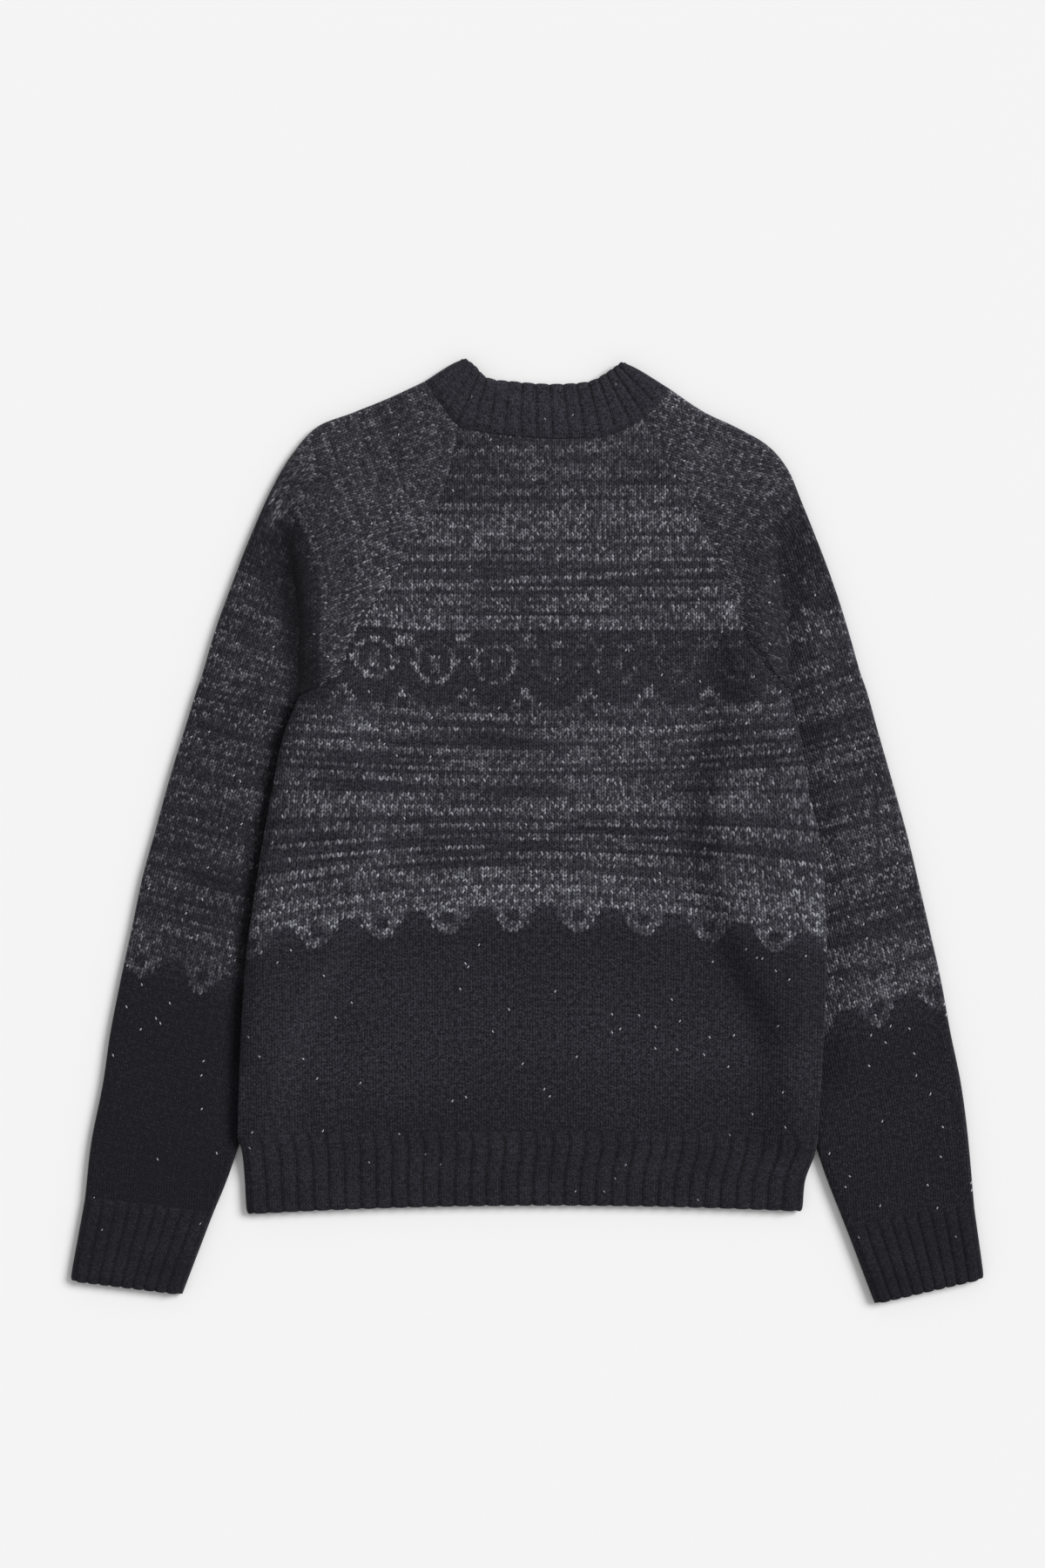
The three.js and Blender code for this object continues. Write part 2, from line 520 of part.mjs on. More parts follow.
// Steps under a sleeve or cuff from its outer fold back to the inner end
function underSteps(width) {
  const folds = foldSteps();
  const steps = folds.slice(1).map((step) => ({ ...step, distance: width - step.distance }));
  for (let i = 1; i < UNDER_STEPS; i += 1) {
    steps.push({ distance: lerp(width - FOLD_RADIUS, FOLD_RADIUS, i / UNDER_STEPS), rise: 1 });
  }
  for (const step of [...folds].reverse()) steps.push({ ...step, nearSeam: true });
  return steps;
}

// A sleeve's first row, which follows a neck seam from its raglan corner to the shoulder
function neckRow(neck, corner, shoulder) {
  const start = shareNear(neck, corner);
  const miss = corner.clone().sub(neck.getPointAt(start));
  return {
    length: neck.getLength() * Math.abs(start - shoulder),
    place: (share) => neck.getPointAt(lerp(start, shoulder, share)).addScaledVector(miss, 1 - share),
  };
}

// A sleeve is one piece of knitting from the back raglan seam round the outer fold to the front one;
// below the seams its long edges meet at the hidden inner fold
function sleeve(name, rows, side) {
  const isLeft = side < 0;
  const shoulder = isLeft ? 0 : 1;
  const backSeam = raglanLine(rows, 'inX', 'inY', side);
  const frontRows = FRONT_ROWS.map((row) => (
    { inX: isLeft ? row.leftX : row.rightX, inY: isLeft ? row.leftY : row.rightY }));
  const frontSeam = raglanLine(frontRows, 'inX', 'inY', side);
  const backNeck = neckRow(BACK_NECK, backSeam[0], shoulder);
  const frontNeck = neckRow(FRONT_NECK, frontSeam[0], shoulder);
  const outside = [];
  const inside = [];
  rows.forEach((row, i) => {
    const joined = i >= RAGLAN_ROWS;
    const outer = at(row.outX, row.outY, 0);
    const innerBack = joined ? at(row.inX, row.inY, 0) : backSeam[i];
    const innerFront = joined ? at(row.inX, row.inY, 0) : frontSeam[i];
    const width = i > 0 ? innerBack.distanceTo(outer) : backNeck.length;
    const frontWidth = i > 0 ? innerFront.distanceTo(outer) : frontNeck.length;
    const onBack = (distance) => {
      const share = distance / width;
      return i > 0 ? innerBack.clone().lerp(outer, share) : backNeck.place(share);
    };
    const onFront = (distance) => {
      const share = distance / frontWidth;
      return i > 0 ? innerFront.clone().lerp(outer, share) : frontNeck.place(share);
    };
    const insideAt = (distance, across) => (
      joined || distance > across / 2 ? foldedInside(distance, across) : distance);
    const toCrease = width * row.crease;
    const outerRow = [];
    const innerRow = [];
    for (const step of sleeveTopSteps(width, toCrease)) {
      const rise = step.nearSeam && !joined ? 1 : step.rise;
      const lift = lerp(row.seamLift, row.creaseLift, clamp(step.distance / toCrease, 0, 1)) * step.over;
      const point = onBack(step.distance);
      const top = TWO_PLIES + SLEEVE_LIFT * lift + softFold(point);
      const seamHalf = step.nearSeam && step.rise === 0 ? SEAM_GAP / 2 : 0;
      point.z = lerp(FOLD_RADIUS + seamHalf, top, rise);
      const inner = onBack(insideAt(step.distance, width));
      inner.z = step.distance === width ? FOLD_RADIUS : PLY + LAYER_GAP;
      outerRow.push(point);
      innerRow.push(inner);
    }
    for (const step of underSteps(frontWidth)) {
      const rise = step.nearSeam && !joined ? 1 : step.rise;
      const seamHalf = step.nearSeam && step.rise === 0 ? SEAM_GAP / 2 : 0;
      const point = onFront(step.distance);
      point.z = lerp(FOLD_RADIUS - seamHalf, 0, rise);
      const inner = onFront(insideAt(step.distance, frontWidth));
      inner.z = PLY;
      outerRow.push(point);
      innerRow.push(inner);
    }
    outside.push(outerRow);
    inside.push(innerRow);
  });
  for (const grid of [outside, inside]) drawBackEnds(grid);
  return wall(name, SLEEVE_COLOUR, outside, inside);
}

function cuff(name, rows) {
  const outside = [];
  const inside = [];
  rows.forEach((row, i) => {
    const start = at(row.inX, row.inY, 0);
    const end = at(row.outX, row.outY, 0);
    const width = start.distanceTo(end);
    const place = (distance) => start.clone().lerp(end, distance / width);
    const outerRow = [];
    const innerRow = [];
    for (const step of ribbedSteps(width, CUFF_RIBS)) {
      const seamHalf = step.distance === 0 ? SEAM_GAP / 2 : 0;
      const point = place(step.distance);
      const crest = RIB_HEIGHT * row.rib * step.crest;
      point.z = lerp(FOLD_RADIUS + seamHalf, TWO_PLIES + crest - edgeDrop(i, rows), step.rise);
      const inner = place(foldedInside(step.distance, width));
      inner.z = step.distance === width ? FOLD_RADIUS : PLY + LAYER_GAP;
      outerRow.push(point);
      innerRow.push(inner);
    }
    for (const step of underSteps(width)) {
      const seamHalf = step.distance === 0 ? SEAM_GAP / 2 : 0;
      const point = place(step.distance);
      point.z = lerp(FOLD_RADIUS - seamHalf, 0, step.rise);
      const inner = place(foldedInside(step.distance, width));
      inner.z = PLY;
      outerRow.push(point);
      innerRow.push(inner);
    }
    outside.push(outerRow);
    inside.push(innerRow);
  });
  for (const grid of [outside, inside]) drawBack(grid, 0, 1, SEAM_GAP);
  return wall(name, RIB_COLOUR, outside, inside);
}

// How far the back of the collar comes down towards the floor beyond the front's lower top edge
function collarDrop(point, frontEdge) {
  let nearest = frontEdge[0];
  for (const candidate of frontEdge) {
    if (candidate.distanceTo(point) < nearest.distanceTo(point)) nearest = candidate;
  }
  if (point.y < nearest.y) return 0;
  const beyond = nearest.distanceTo(point) - COLLAR_DROP_START;
  return (PLY + LAYER_GAP) * (1 - fade(clamp(beyond / COLLAR_DROP_WIDTH, 0, 1)));
}

// The collar is a ring: its ribbed back part is uppermost and its plain front part lies on the floor
function collar() {
  const frontEdge = FRONT_COLLAR_TOP.getSpacedPoints(COLLAR_EDGE_SAMPLES);
  const outside = [];
  const inside = [];
  COLLAR_ROWS.forEach((row, i) => {
    const width = lerp(BACK_NECK.getLength(), BACK_COLLAR_TOP.getLength(), row.height);
    const frontWidth = lerp(FRONT_NECK.getLength(), FRONT_COLLAR_TOP.getLength(), row.height);
    const onBack = (distance) => BACK_NECK.getPointAt(distance / width)
      .lerp(BACK_COLLAR_TOP.getPointAt(distance / width), row.height);
    const onFront = (distance) => FRONT_NECK.getPointAt(distance / frontWidth)
      .lerp(FRONT_COLLAR_TOP.getPointAt(distance / frontWidth), row.height);
    const outerRow = [];
    const innerRow = [];
    for (const step of ribbedSteps(width, COLLAR_RIBS)) {
      const point = onBack(step.distance);
      const inner = onBack(foldedInside(step.distance, width));
      const drop = collarDrop(inner, frontEdge);
      const top = TWO_PLIES - drop + RIB_HEIGHT * row.rib * step.crest - edgeDrop(i, COLLAR_ROWS);
      point.z = lerp(FOLD_RADIUS, top, step.rise);
      inner.z = step.rise === 0 ? FOLD_RADIUS : PLY + LAYER_GAP - drop;
      outerRow.push(point);
      innerRow.push(inner);
    }
    for (let k = 1; k < COLLAR_UNDER_STEPS; k += 1) {
      const step = collarUnderStep(k, frontWidth);
      const point = onFront(step.distance);
      const inner = onFront(foldedInside(step.distance, frontWidth));
      point.z = lerp(FOLD_RADIUS, 0, step.rise);
      inner.z = PLY;
      outerRow.push(point);
      innerRow.push(inner);
    }
    outside.push(outerRow);
    inside.push(innerRow);
  });
  for (const grid of [outside, inside]) drawBack(grid, 0, 1, NECK_GAP);
  return wall('collar', RIB_COLOUR, outside, inside, true);
}

// Steps under the collar from its right fold back to the left one, without the two edge points
function collarUnderStep(k, width) {
  const folds = foldSteps();
  if (k <= 2) return { distance: width - folds[k].distance, rise: folds[k].rise };
  const left = COLLAR_UNDER_STEPS - k;
  if (left <= 2) return folds[left];
  const share = (k - 2) / (COLLAR_UNDER_STEPS - 4);
  return { distance: lerp(width - FOLD_RADIUS, FOLD_RADIUS, share), rise: 1 };
}

const jumper = new THREE.Group();
jumper.add(back(), front(), collar(), hemRibBack(), hemRibFront());
jumper.add(sleeve('sleeve_left', LEFT_SLEEVE_ROWS, -1), sleeve('sleeve_right', RIGHT_SLEEVE_ROWS, 1));
jumper.add(cuff('cuff_left', LEFT_CUFF_ROWS), cuff('cuff_right', RIGHT_CUFF_ROWS));

export default jumper;
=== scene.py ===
"""Fair isle jumper: a raglan pullover in chunky stranded knitting, laid flat with its back upwards.

The pieces are knitted sheets: each is a fine wall on the form of its solid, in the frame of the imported
model. Lengths in the tables are millimetres, seen from above, with the neck towards +Y.
"""
import math

import bmesh
import bpy
import numpy as np
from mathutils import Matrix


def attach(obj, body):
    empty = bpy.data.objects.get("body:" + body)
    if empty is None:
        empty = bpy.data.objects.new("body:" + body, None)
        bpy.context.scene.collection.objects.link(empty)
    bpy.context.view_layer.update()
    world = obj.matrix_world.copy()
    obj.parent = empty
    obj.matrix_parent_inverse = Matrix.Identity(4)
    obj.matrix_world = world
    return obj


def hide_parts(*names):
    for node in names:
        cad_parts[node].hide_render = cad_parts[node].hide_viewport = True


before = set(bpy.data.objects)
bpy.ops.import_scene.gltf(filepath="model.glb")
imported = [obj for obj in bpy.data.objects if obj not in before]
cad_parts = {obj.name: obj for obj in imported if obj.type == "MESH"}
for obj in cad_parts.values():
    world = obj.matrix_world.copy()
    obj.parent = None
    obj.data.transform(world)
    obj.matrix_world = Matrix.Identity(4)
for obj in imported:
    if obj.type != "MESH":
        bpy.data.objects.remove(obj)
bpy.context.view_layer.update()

bl_info = {
    "name": "Fair Isle Jumper",
    "version": (1, 0, 0),
    "blender": (4, 5, 0),
    "location": "View3D > Sidebar > Jumper",
    "description": "Makes a ribbed raglan pullover with a stranded pattern, laid flat",
    "category": "Add Mesh",
}

MM = 0.001

# One layer of knitting, the clearance between layers and at a seam, and what follows from them
PLY = 4.0
LAYER_GAP = 0.4
SEAM_GAP = 0.3
RIB_GAP = 0.08
TWO_PLIES = 2 * PLY + LAYER_GAP
SLEEVE_LIFT = TWO_PLIES + LAYER_GAP
FOLD_RADIUS = TWO_PLIES / 2
CAVITY_BLEND = 15.0

# Ribs in each piece, and the wales that one rib takes
HEM_RIBS = 35
CUFF_RIBS = 9
COLLAR_RIBS = 17
WALES_PER_RIB = 3
RIB_ROUNDNESS = 3.2

# Rows that the body and the sleeves share at the raglan seams
RAGLAN_ROWS = 10

# The neck seams and the collar's top edges, from the left fold to the right one
BACK_NECK = [
    (-84.6, 371.2), (-72.4, 353.2), (-56.5, 334.4), (-32.8, 328), (10.4, 323.6),
    (39.2, 323.6), (68, 325.8), (95.4, 340.2), (109.1, 353.2), (117, 365.4),
]
BACK_COLLAR_TOP = [
    (-54.4, 391.3), (-43.6, 383.4), (-34.2, 374), (-11.2, 370.4), (24.8, 368.3),
    (53.6, 371.2), (65.9, 377.6), (81, 388.4),
]
FRONT_NECK = [
    (-84.6, 371.2), (-74, 348), (-66, 326), (-60.8, 307.8), (-25.6, 290.5), (19.1, 285.5),
    (68, 292.7), (104.8, 318.6), (108, 337), (111.5, 352), (117, 365.4),
]
FRONT_COLLAR_TOP = [
    (-54.4, 391.3), (-41.4, 369), (-14.8, 347.4), (19.1, 340.2), (50, 348.8), (70.2, 370.4), (81, 388.4),
]


class Rows:
    """A table of rows with named columns, which reads as a smooth curve on each side of the armpit."""

    def __init__(self, names, rows, corner=None):
        self.names = names.split()
        self.values = np.array(rows, float)
        self.corner = corner

    def __len__(self):
        return len(self.values)

    def read(self, places=None):
        """The columns at these places, which count the rows from 0; without places, at every row."""
        if places is None:
            places = np.arange(len(self), dtype=float)
        if self.corner is None:
            found = smooth_between(self.values, places)
        else:
            above = smooth_between(self.values[: self.corner + 1], places)
            below = smooth_between(self.values[self.corner:], places - self.corner)
            found = np.where((places <= self.corner)[:, None], above, below)
        return {name: found[:, [k]] for k, name in enumerate(self.names)}


def smooth_between(values, places):
    """Catmull-Rom interpolation in the rows of a table."""
    last = len(values) - 1
    places = np.clip(places, 0, last)
    start = np.minimum(places.astype(int), last - 1)
    t = (places - start)[:, None]
    ends = np.vstack([2 * values[0] - values[1], values, 2 * values[-1] - values[-2]])
    a, b, c, d = (ends[start + k] for k in range(4))
    return b + 0.5 * t * (c - a + t * (2 * a - 5 * b + 4 * c - d + t * (3 * (b - c) + d - a)))


# Body rows from the neck down: ends, sag of the middle, share of the lift over the sleeves, and how far
# from a side the rise ends (ramp) and starts (foot)
BODY_COLUMNS = "left_x left_y right_x right_y sag lift ramp foot"
BODY_ROWS = [
    (-56.5, 334.4, 95.4, 340.2, 12, 0, 12, 27),
    (-60.8, 311.4, 106.2, 322.2, 12, 0, 13, 30),
    (-65.9, 289.8, 117.0, 303.5, 11, 0, 15, 33),
    (-73.8, 270.4, 127.8, 285.5, 10, 0, 16, 36),
    (-83.9, 250.2, 137.9, 267.5, 9, 0, 18, 40),
    (-96.8, 231.5, 147.2, 248.0, 8, 0, 18, 42),
    (-112.7, 207.7, 155.2, 227.9, 7, 0, 16, 40),
    (-130.7, 181.8, 163.1, 206.3, 6, 0.1, 13, 34),
    (-147.2, 154.4, 172.4, 181.8, 5, 0.4, 11, 30),
    (-154.4, 127.8, 190.4, 144.4, 4, 0.9, 14, 42),
    (-189.0, 109.8, 216.4, 113.4, 3, 1, 22, 70),
    (-202.7, 73.8, 225.7, 73.8, 2, 1, 49, 78),
    (-210.6, 34.2, 232.2, 34.2, 0, 1, 70, 100),
    (-218.5, -9.0, 241.6, -9.0, -1, 1, 80, 110),
    (-225.7, -55.8, 245.9, -55.8, -2, 1, 80, 109),
    (-232.2, -102.6, 247.3, -102.6, -2, 1, 65, 93),
    (-235.8, -153.0, 245.9, -153.0, -3, 1, 38, 68),
    (-238.0, -203.4, 243.0, -203.4, -3, 1, 24, 58),
    (-239.4, -252.4, 240.1, -252.4, -3, 1, 12, 60),
]
FRONT_TOP_ROWS = [
    (-60.8, 307.8, 104.8, 318.6, 25, 0, 13, 30),
    (-64.4, 295.6, 113.4, 306.4, 20, 0, 14, 32),
    (-68.8, 282.6, 120.6, 296.3, 14, 0, 15, 34),
]
BACK_BODY = Rows(BODY_COLUMNS, BODY_ROWS, RAGLAN_ROWS)
FRONT_BODY = Rows(BODY_COLUMNS, FRONT_TOP_ROWS + BODY_ROWS[len(FRONT_TOP_ROWS):], RAGLAN_ROWS)

# Welt rows from the hem seam to the free edge; the last column is the share of the rib height
HEM = Rows(BODY_COLUMNS + " rib", [
    (-239.4, -252.4, 240.1, -252.4, -3, 1, 12, 60, 0.3),
    (-235.8, -268.2, 238.0, -268.2, -4, 0.4, 12, 60, 1),
    (-234.0, -290.0, 230.2, -290.0, -5, 0, 12, 60, 1),
    (-232.6, -313.6, 228.0, -311.6, -6, 0, 12, 60, 1),
    (-230.4, -317.2, 226.2, -315.0, -6, 0, 12, 60, 1),
])

# Sleeve rows from the neck down: inner end at the raglan seam or hidden fold, outer fold, crease as a
# share of the width, and share of the lift at the seam and at the crease. Down to the armpit the inner
# ends are the body's, whose columns start at these places, and below it there is no lift
LEFT_END, RIGHT_END = 0, 2
SLEEVE_COLUMNS = "in_x in_y out_x out_y crease seam_lift crease_lift"


def sleeve_rows(side, raglan, arm):
    joined = [(*body[side:side + 2], *rest) for body, rest in zip(BODY_ROWS, raglan)]
    return Rows(SLEEVE_COLUMNS, joined + [(*row, 0, 0) for row in arm], RAGLAN_ROWS)


LEFT_SLEEVE = sleeve_rows(LEFT_END, [
    (-84.6, 371.2, 0.6, 0, 0),
    (-114.1, 357.5, 0.63, 0, 0),
    (-144.4, 345.2, 0.66, 0, 0),
    (-174.6, 333.0, 0.7, 0, 0),
    (-196.2, 308.5, 0.75, 0, 0),
    (-209.9, 285.5, 0.77, 0, 0.15),
    (-222.1, 259.6, 0.75, 0, 0.5),
    (-233.6, 232.2, 0.61, 0.1, 0.85),
    (-245.9, 199.8, 0.42, 0.4, 1),
    (-258.1, 166.0, 0.34, 0.9, 1),
], [
    (-189.3, 109.8, -269.6, 127.1, 0.06),
    (-170.3, 84.6, -275.4, 110.5, 0.28),
    (-153.0, 52.2, -282.6, 86.8, 0.41),
    (-145.1, 1.8, -296.3, 42.1, 0.47),
    (-149.4, -45.0, -308.5, -2.5, 0.46),
    (-162.4, -81.0, -318.6, -39.2, 0.43),
    (-185.4, -118.4, -327.2, -80.3, 0.34),
    (-207.0, -158.0, -336.6, -123.5, 0.25),
    (-220.0, -201.2, -345.2, -167.4, 0.2),
    (-232.9, -243.0, -351.7, -211.3, 0.2),
    (-247.3, -286.2, -361.1, -258.8, 0.2),
    (-259.6, -316.4, -366.1, -303.5, 0.2),
])
RIGHT_SLEEVE = sleeve_rows(RIGHT_END, [
    (117.0, 365.4, 0.6, 0, 0),
    (145.8, 346.0, 0.63, 0, 0),
    (173.2, 333.0, 0.66, 0, 0),
    (199.1, 317.9, 0.7, 0, 0),
    (215.6, 298.4, 0.72, 0, 0),
    (226.4, 273.2, 0.73, 0, 0.1),
    (238.0, 244.4, 0.62, 0, 0.4),
    (248.8, 216.4, 0.53, 0.1, 0.8),
    (258.8, 187.6, 0.46, 0.4, 1),
    (267.5, 158.8, 0.32, 0.9, 1),
], [
    (216.7, 113.4, 275.4, 130.7, 0.06),
    (195.5, 84.6, 281.9, 112.0, 0.33),
    (175.3, 52.2, 289.8, 83.2, 0.47),
    (167.4, 1.8, 302.8, 37.8, 0.52),
    (170.3, -45.0, 315.0, -6.1, 0.5),
    (178.9, -81.0, 323.6, -42.1, 0.45),
    (199.1, -118.4, 333.0, -82.4, 0.35),
    (217.1, -158.0, 342.4, -124.2, 0.25),
    (225.0, -201.2, 350.3, -167.4, 0.2),
    (233.6, -243.0, 358.9, -209.2, 0.2),
    (245.9, -283.3, 364.7, -252.4, 0.2),
    (263.2, -328.0, 369.7, -307.8, 0.2),
])

# Cuff rows from the sleeve to the free edge
LEFT_CUFF = Rows("in_x in_y out_x out_y rib", [
    (-259.6, -316.4, -366.1, -303.5, 0.3),
    (-263.6, -326.6, -367.8, -314.0, 1),
    (-283.6, -379.0, -377.4, -367.2, 1),
    (-285.2, -383.4, -376.4, -372.4, 1),
])
RIGHT_CUFF = Rows("in_x in_y out_x out_y rib", [
    (263.2, -328.0, 369.7, -307.8, 0.3),
    (267.2, -338.2, 370.8, -318.0, 1),
    (285.6, -386.8, 377.4, -366.0, 1),
    (287.6, -391.3, 376.4, -370.6, 1),
])

# Collar: its height, how much its ribs spread at the middle of the top edge, how far its corners are
# rounded down, how many ribs by the left fold are nearly plain and what is left of them there, how high
# ribs are at shares of its height, and the step where the back lies down past the edge of the front
COLLAR_HEIGHT = 46.0
COLLAR_SPREAD = 0.42
COLLAR_PEAK = 2.6
COLLAR_PLAIN_RIBS = 3.5
COLLAR_PLAIN_CREST = 0.2
COLLAR_RISE = ([0, 0.2, 1], [0.4, 1, 1])
COLLAR_DROP_START = 5.0
COLLAR_DROP_WIDTH = 12.0

# Soft creases in the top surface: half width, height (a trough is negative), and the points they follow
SOFT_FOLDS = [
    (12, -1.2, [(-157, -160), (-150, -250)]),
    (9, -1.3, [(224, 205), (221, 150)]),
    (14, 1.0, [(236, 150), (250, 60)]),
    (14, 1.0, [(-262, 70), (-300, -60)]),
    (12, -1.0, [(258, -30), (262, -150)]),
    (16, 1.0, [(-120, 120), (-60, 60)]),
    (18, -0.8, [(60, -150), (90, -230)]),
    (15, 1.0, [(-110, 250), (-150, 290)]),
    (10, -0.7, [(-100, 150), (-70, 110), (-20, 92), (40, 96)]),
    (14, 0.6, [(-40, 40), (20, 20), (90, 36), (150, 70)]),
    (12, -0.6, [(-190, -70), (-120, -92), (-50, -104)]),
    (12, 0.5, [(60, -60), (130, -82), (190, -120)]),
    (9, -0.6, [(-330, -180), (-290, -200), (-262, -196)]),
    (10, -0.6, [(340, -150), (300, -176), (272, -170)]),
    (10, 0.6, [(-345, -230), (-300, -262), (-262, -262)]),
    (12, -0.6, [(-20, 280), (20, 262), (70, 272)]),
    (20, -1.0, [(160, 110), (143, 30), (144, -33), (162, -80), (188, -127), (205, -165)]),
]

# Gentle unevenness of cloth that lies by itself: wavelength along x and y, angle between, height
SWELLS = [(150, 210, 0.4, 0.34), (95, 130, 2.1, 0.26), (61, 83, 4.4, 0.2), (37, 44, 1.2, 0.12)]

# How much lower the body's sides are than its middle, above the round of the fold, and how far in
SIDE_ROUND = 2.8
SIDE_REACH = 24.0

# Distance from an edge at which soft relief has its full height
CALM_EDGE = 12.0

# Depth of the dip at a sewn seam and where ribs start, and their reach, for the last two in table rows
SEAM_DIP = 1.3
RIB_DIP = 0.35
SEAM_REACH = 3.4
NECK_REACH = 0.16
CUFF_REACH = 0.1

# The welt's share of the soft relief; the collar's seam, its gap, its peaks and the points under it
HEM_RELIEF = 0.35
COLLAR_DIP = 1.3 * SEAM_DIP
COLLAR_SEAM_GAP = 0.25
COLLAR_PEAK_REACH = 10.0
COLLAR_UNDER_POINTS = 79

# Rows over which a piece takes on the curve of the neck seam, and over which the body's sides turn from
# seams into folds, just above the armpit
NECK_ROWS = 1.5
FOLD_ROWS = 0.5

# A distance that means no seam is near, and how many rows below the neck have it all over; the true
# distances come in over as many rows more
NO_SEAM = 60.0
SEAM_START = 3.0

# Stitches: height of a course, width of a wale by height on the body, the wale count's start, how far
# the courses hang lower at the body's sides than in its middle, up to how far out, in halves of the
# body, and how far the left armpit pulls them
COURSE = 3.0
WALE_ROWS = [(-330, 4.45), (-75, 4.5), (140, 4.18), (340, 4.1)]
BODY_MIDDLE = 24.1
BOW_ROWS = [(-330, 6), (-250, 8), (-150, 14), (-106, 21), (-67, 25), (-34, 23), (-5, 12), (25, -3),
            (59, -13), (100, -7), (130, -2), (160, 0), (340, 0)]
HALF_BODY = 235.0
BOW_CENTRE = 4.0
BOW_LIMIT = 1.1
ARMPIT_PULL = 6.0
ARMPIT = (-132, 142, 26, 34)

# Sleeve stitches: rows of the table where the wales turn down the arm, the way the wales run on the
# shoulder, the row that shapes its outer corner, and the courses and wales of the arm
TURN_START = 2.8
TURN_END = 7.5
BAND_ROW = 7.0
SHOULDER_ROW = 5
SHOULDER_SLOPE = math.radians(20)
SHOULDER_COURSE = 2.68
ARM_COURSE = 3.0
NECK_COURSES = 62.0
ARM_WALE = 4.3

# Courses by which the dark band is moved onto each crease, by height; -1 is the left sleeve
CAP_SHIFT = {-1: [(100, 15), (150, 9), (200, 2.6), (250, 0), (340, 0)],
             1: [(100, 11), (150, 3.5), (193, -2), (230, -4), (300, 0)]}

# Painted shade in the deep creases, where little light reaches the fibres: reach, how much darker, and the
# line they follow
PAINTED_CREASE_SHADES = [
    (17, 0.5, [(-198, 250), (-194, 210), (-192, 150), (-190, 110), (-204, 74), (-212, 34), (-219, -9),
                (-227, -56), (-233, -103), (-237, -153), (-239, -190)]),
    (26, 0.26, [(-204, 236), (-196, 190), (-184, 140), (-170, 112)]),
    (18, 0.2, [(214, 222), (215, 193), (217, 150), (219, 120)]),
    (30, 0.24, [(182, 150), (154, 92), (143, 30), (144, -33), (162, -80), (188, -127), (205, -165)]),
]

# The cap: width of the lip that rounds down to the crease and the powers of its curve, width of the
# close rows at the crease's foot, and the width of cap below which both shrink
CREASE_EDGE = 24.0
LIP_FORM = (1.7, 0.8)
CREASE_FOOT = 2.2
NARROW_CAP = 30.0

# Troughs of the sleeves beside the creases and the body's sides: reach, depth and the line they follow,
# and how much of their depth the inside gives way
SQUEEZE = 0.55
TROUGHS = {
    -1: (30, 4.6, [(-199, 262), (-193, 200), (-191, 150), (-189, 110), (-203, 74), (-211, 34), (-218, -9),
                   (-226, -56), (-232, -103), (-236, -153), (-238, -203), (-239, -240)]),
    1: (24, 3.8, [(212, 232), (213, 193), (216, 150), (217, 113), (226, 74), (232, 34), (241, -9),
                  (246, -56), (247, -103), (246, -153), (243, -203)]),
}

# Distances of the points nearest an edge, where the even ones start, and what counts as no distance
EDGE_PLACES = np.array([0, 0.25, 0.9, 2.0, 3.4, 5.2, 7.6])
EDGE_END = 10.0
TOUCH = 1e-6

# Points across each rib above and below, and the rows and columns outside to one inside, on plain cloth,
# a ribbed panel and a ribbed tube
RIB_POINTS = 14
UNDER_RIB_POINTS = {"hem": 4, "cuff": 3}
PLAIN_STEPS = (4, 4)
PANEL_STEPS = (5, 14)
TUBE_STEPS = (5, 7)

# Rows of points in the welt and the cuffs, with the shares of them at which the rows of the table come,
# and those of the collar, as shares of its height
HEM_POINTS = (31, [0, 0.25, 0.5, 0.9, 1])
CUFF_POINTS = (33, [0, 0.16, 0.93, 1])
COLLAR_POINTS = [*np.linspace(0, 0.9, 24), 0.93, 0.955, 0.975, 0.99, 1]

# Turns that space the points of a cap's lip and of the close rows at the crease's foot
LIP_TURNS = np.linspace(0, math.pi / 2, 11)[1:]
FOOT_TURNS = np.linspace(0, math.pi / 2, 9)[1:5]

# How much ribbing comes down at its free edge, over which depth, and how far its ribs stand out there
FREE_EDGE_DROP = 1.6
FREE_EDGE_DEPTH = 3.0
RIB_TIP = 0.9
RIB_TIP_DEPTH = 4.0


def fade(share):
    """What is left of a soft step at a share of its width."""
    share = unit(share)
    return 1 - share * share * (3 - 2 * share)


def mix(a, b, share):
    return a + (b - a) * share


def from_rows(rows, places):
    rows = np.array(rows, float)
    return np.interp(places, rows[:, 0], rows[:, 1])


def travelled(line):
    """Length run along a line at each of its points."""
    return np.concatenate([[0], np.cumsum(np.linalg.norm(np.diff(line, axis=0), axis=1))])


def along_curve(points, count=2000):
    """A centripetal curve through the points, as evenly spaced points."""
    points = np.array(points, float)
    ends = np.vstack([2 * points[0] - points[1], points, 2 * points[-1] - points[-2]])
    found = []
    for four in zip(ends, ends[1:], ends[2:], ends[3:]):
        gaps = [max(np.linalg.norm(q - p) ** 0.5, 1e-6) for p, q in zip(four, four[1:])]
        k = np.cumsum([0, *gaps])
        t = np.linspace(k[1], k[2], 40, endpoint=False)[:, None]
        for span in (1, 2):
            four = [((k[i + span] - t) * p + (t - k[i]) * q) / (k[i + span] - k[i])
                    for i, (p, q) in enumerate(zip(four, four[1:]))]
        found.append(mix(*four, (t - k[1]) / (k[2] - k[1])))
    found = np.vstack([*found, points[-1:]])
    length = travelled(found)
    places = np.linspace(0, length[-1], count)
    return np.stack([np.interp(places, length, found[:, k]) for k in (0, 1)], axis=1)


def on_curve(line, share):
    """Points of an evenly spaced line at shares of its length, in an array of any form."""
    places = unit(share) * (len(line) - 1)
    return np.stack([np.interp(places, np.arange(len(line)), line[:, k]) for k in (0, 1)], axis=-1)


def share_near(line, point):
    return float(np.argmin(np.linalg.norm(line - np.array(point), axis=1))) / (len(line) - 1)


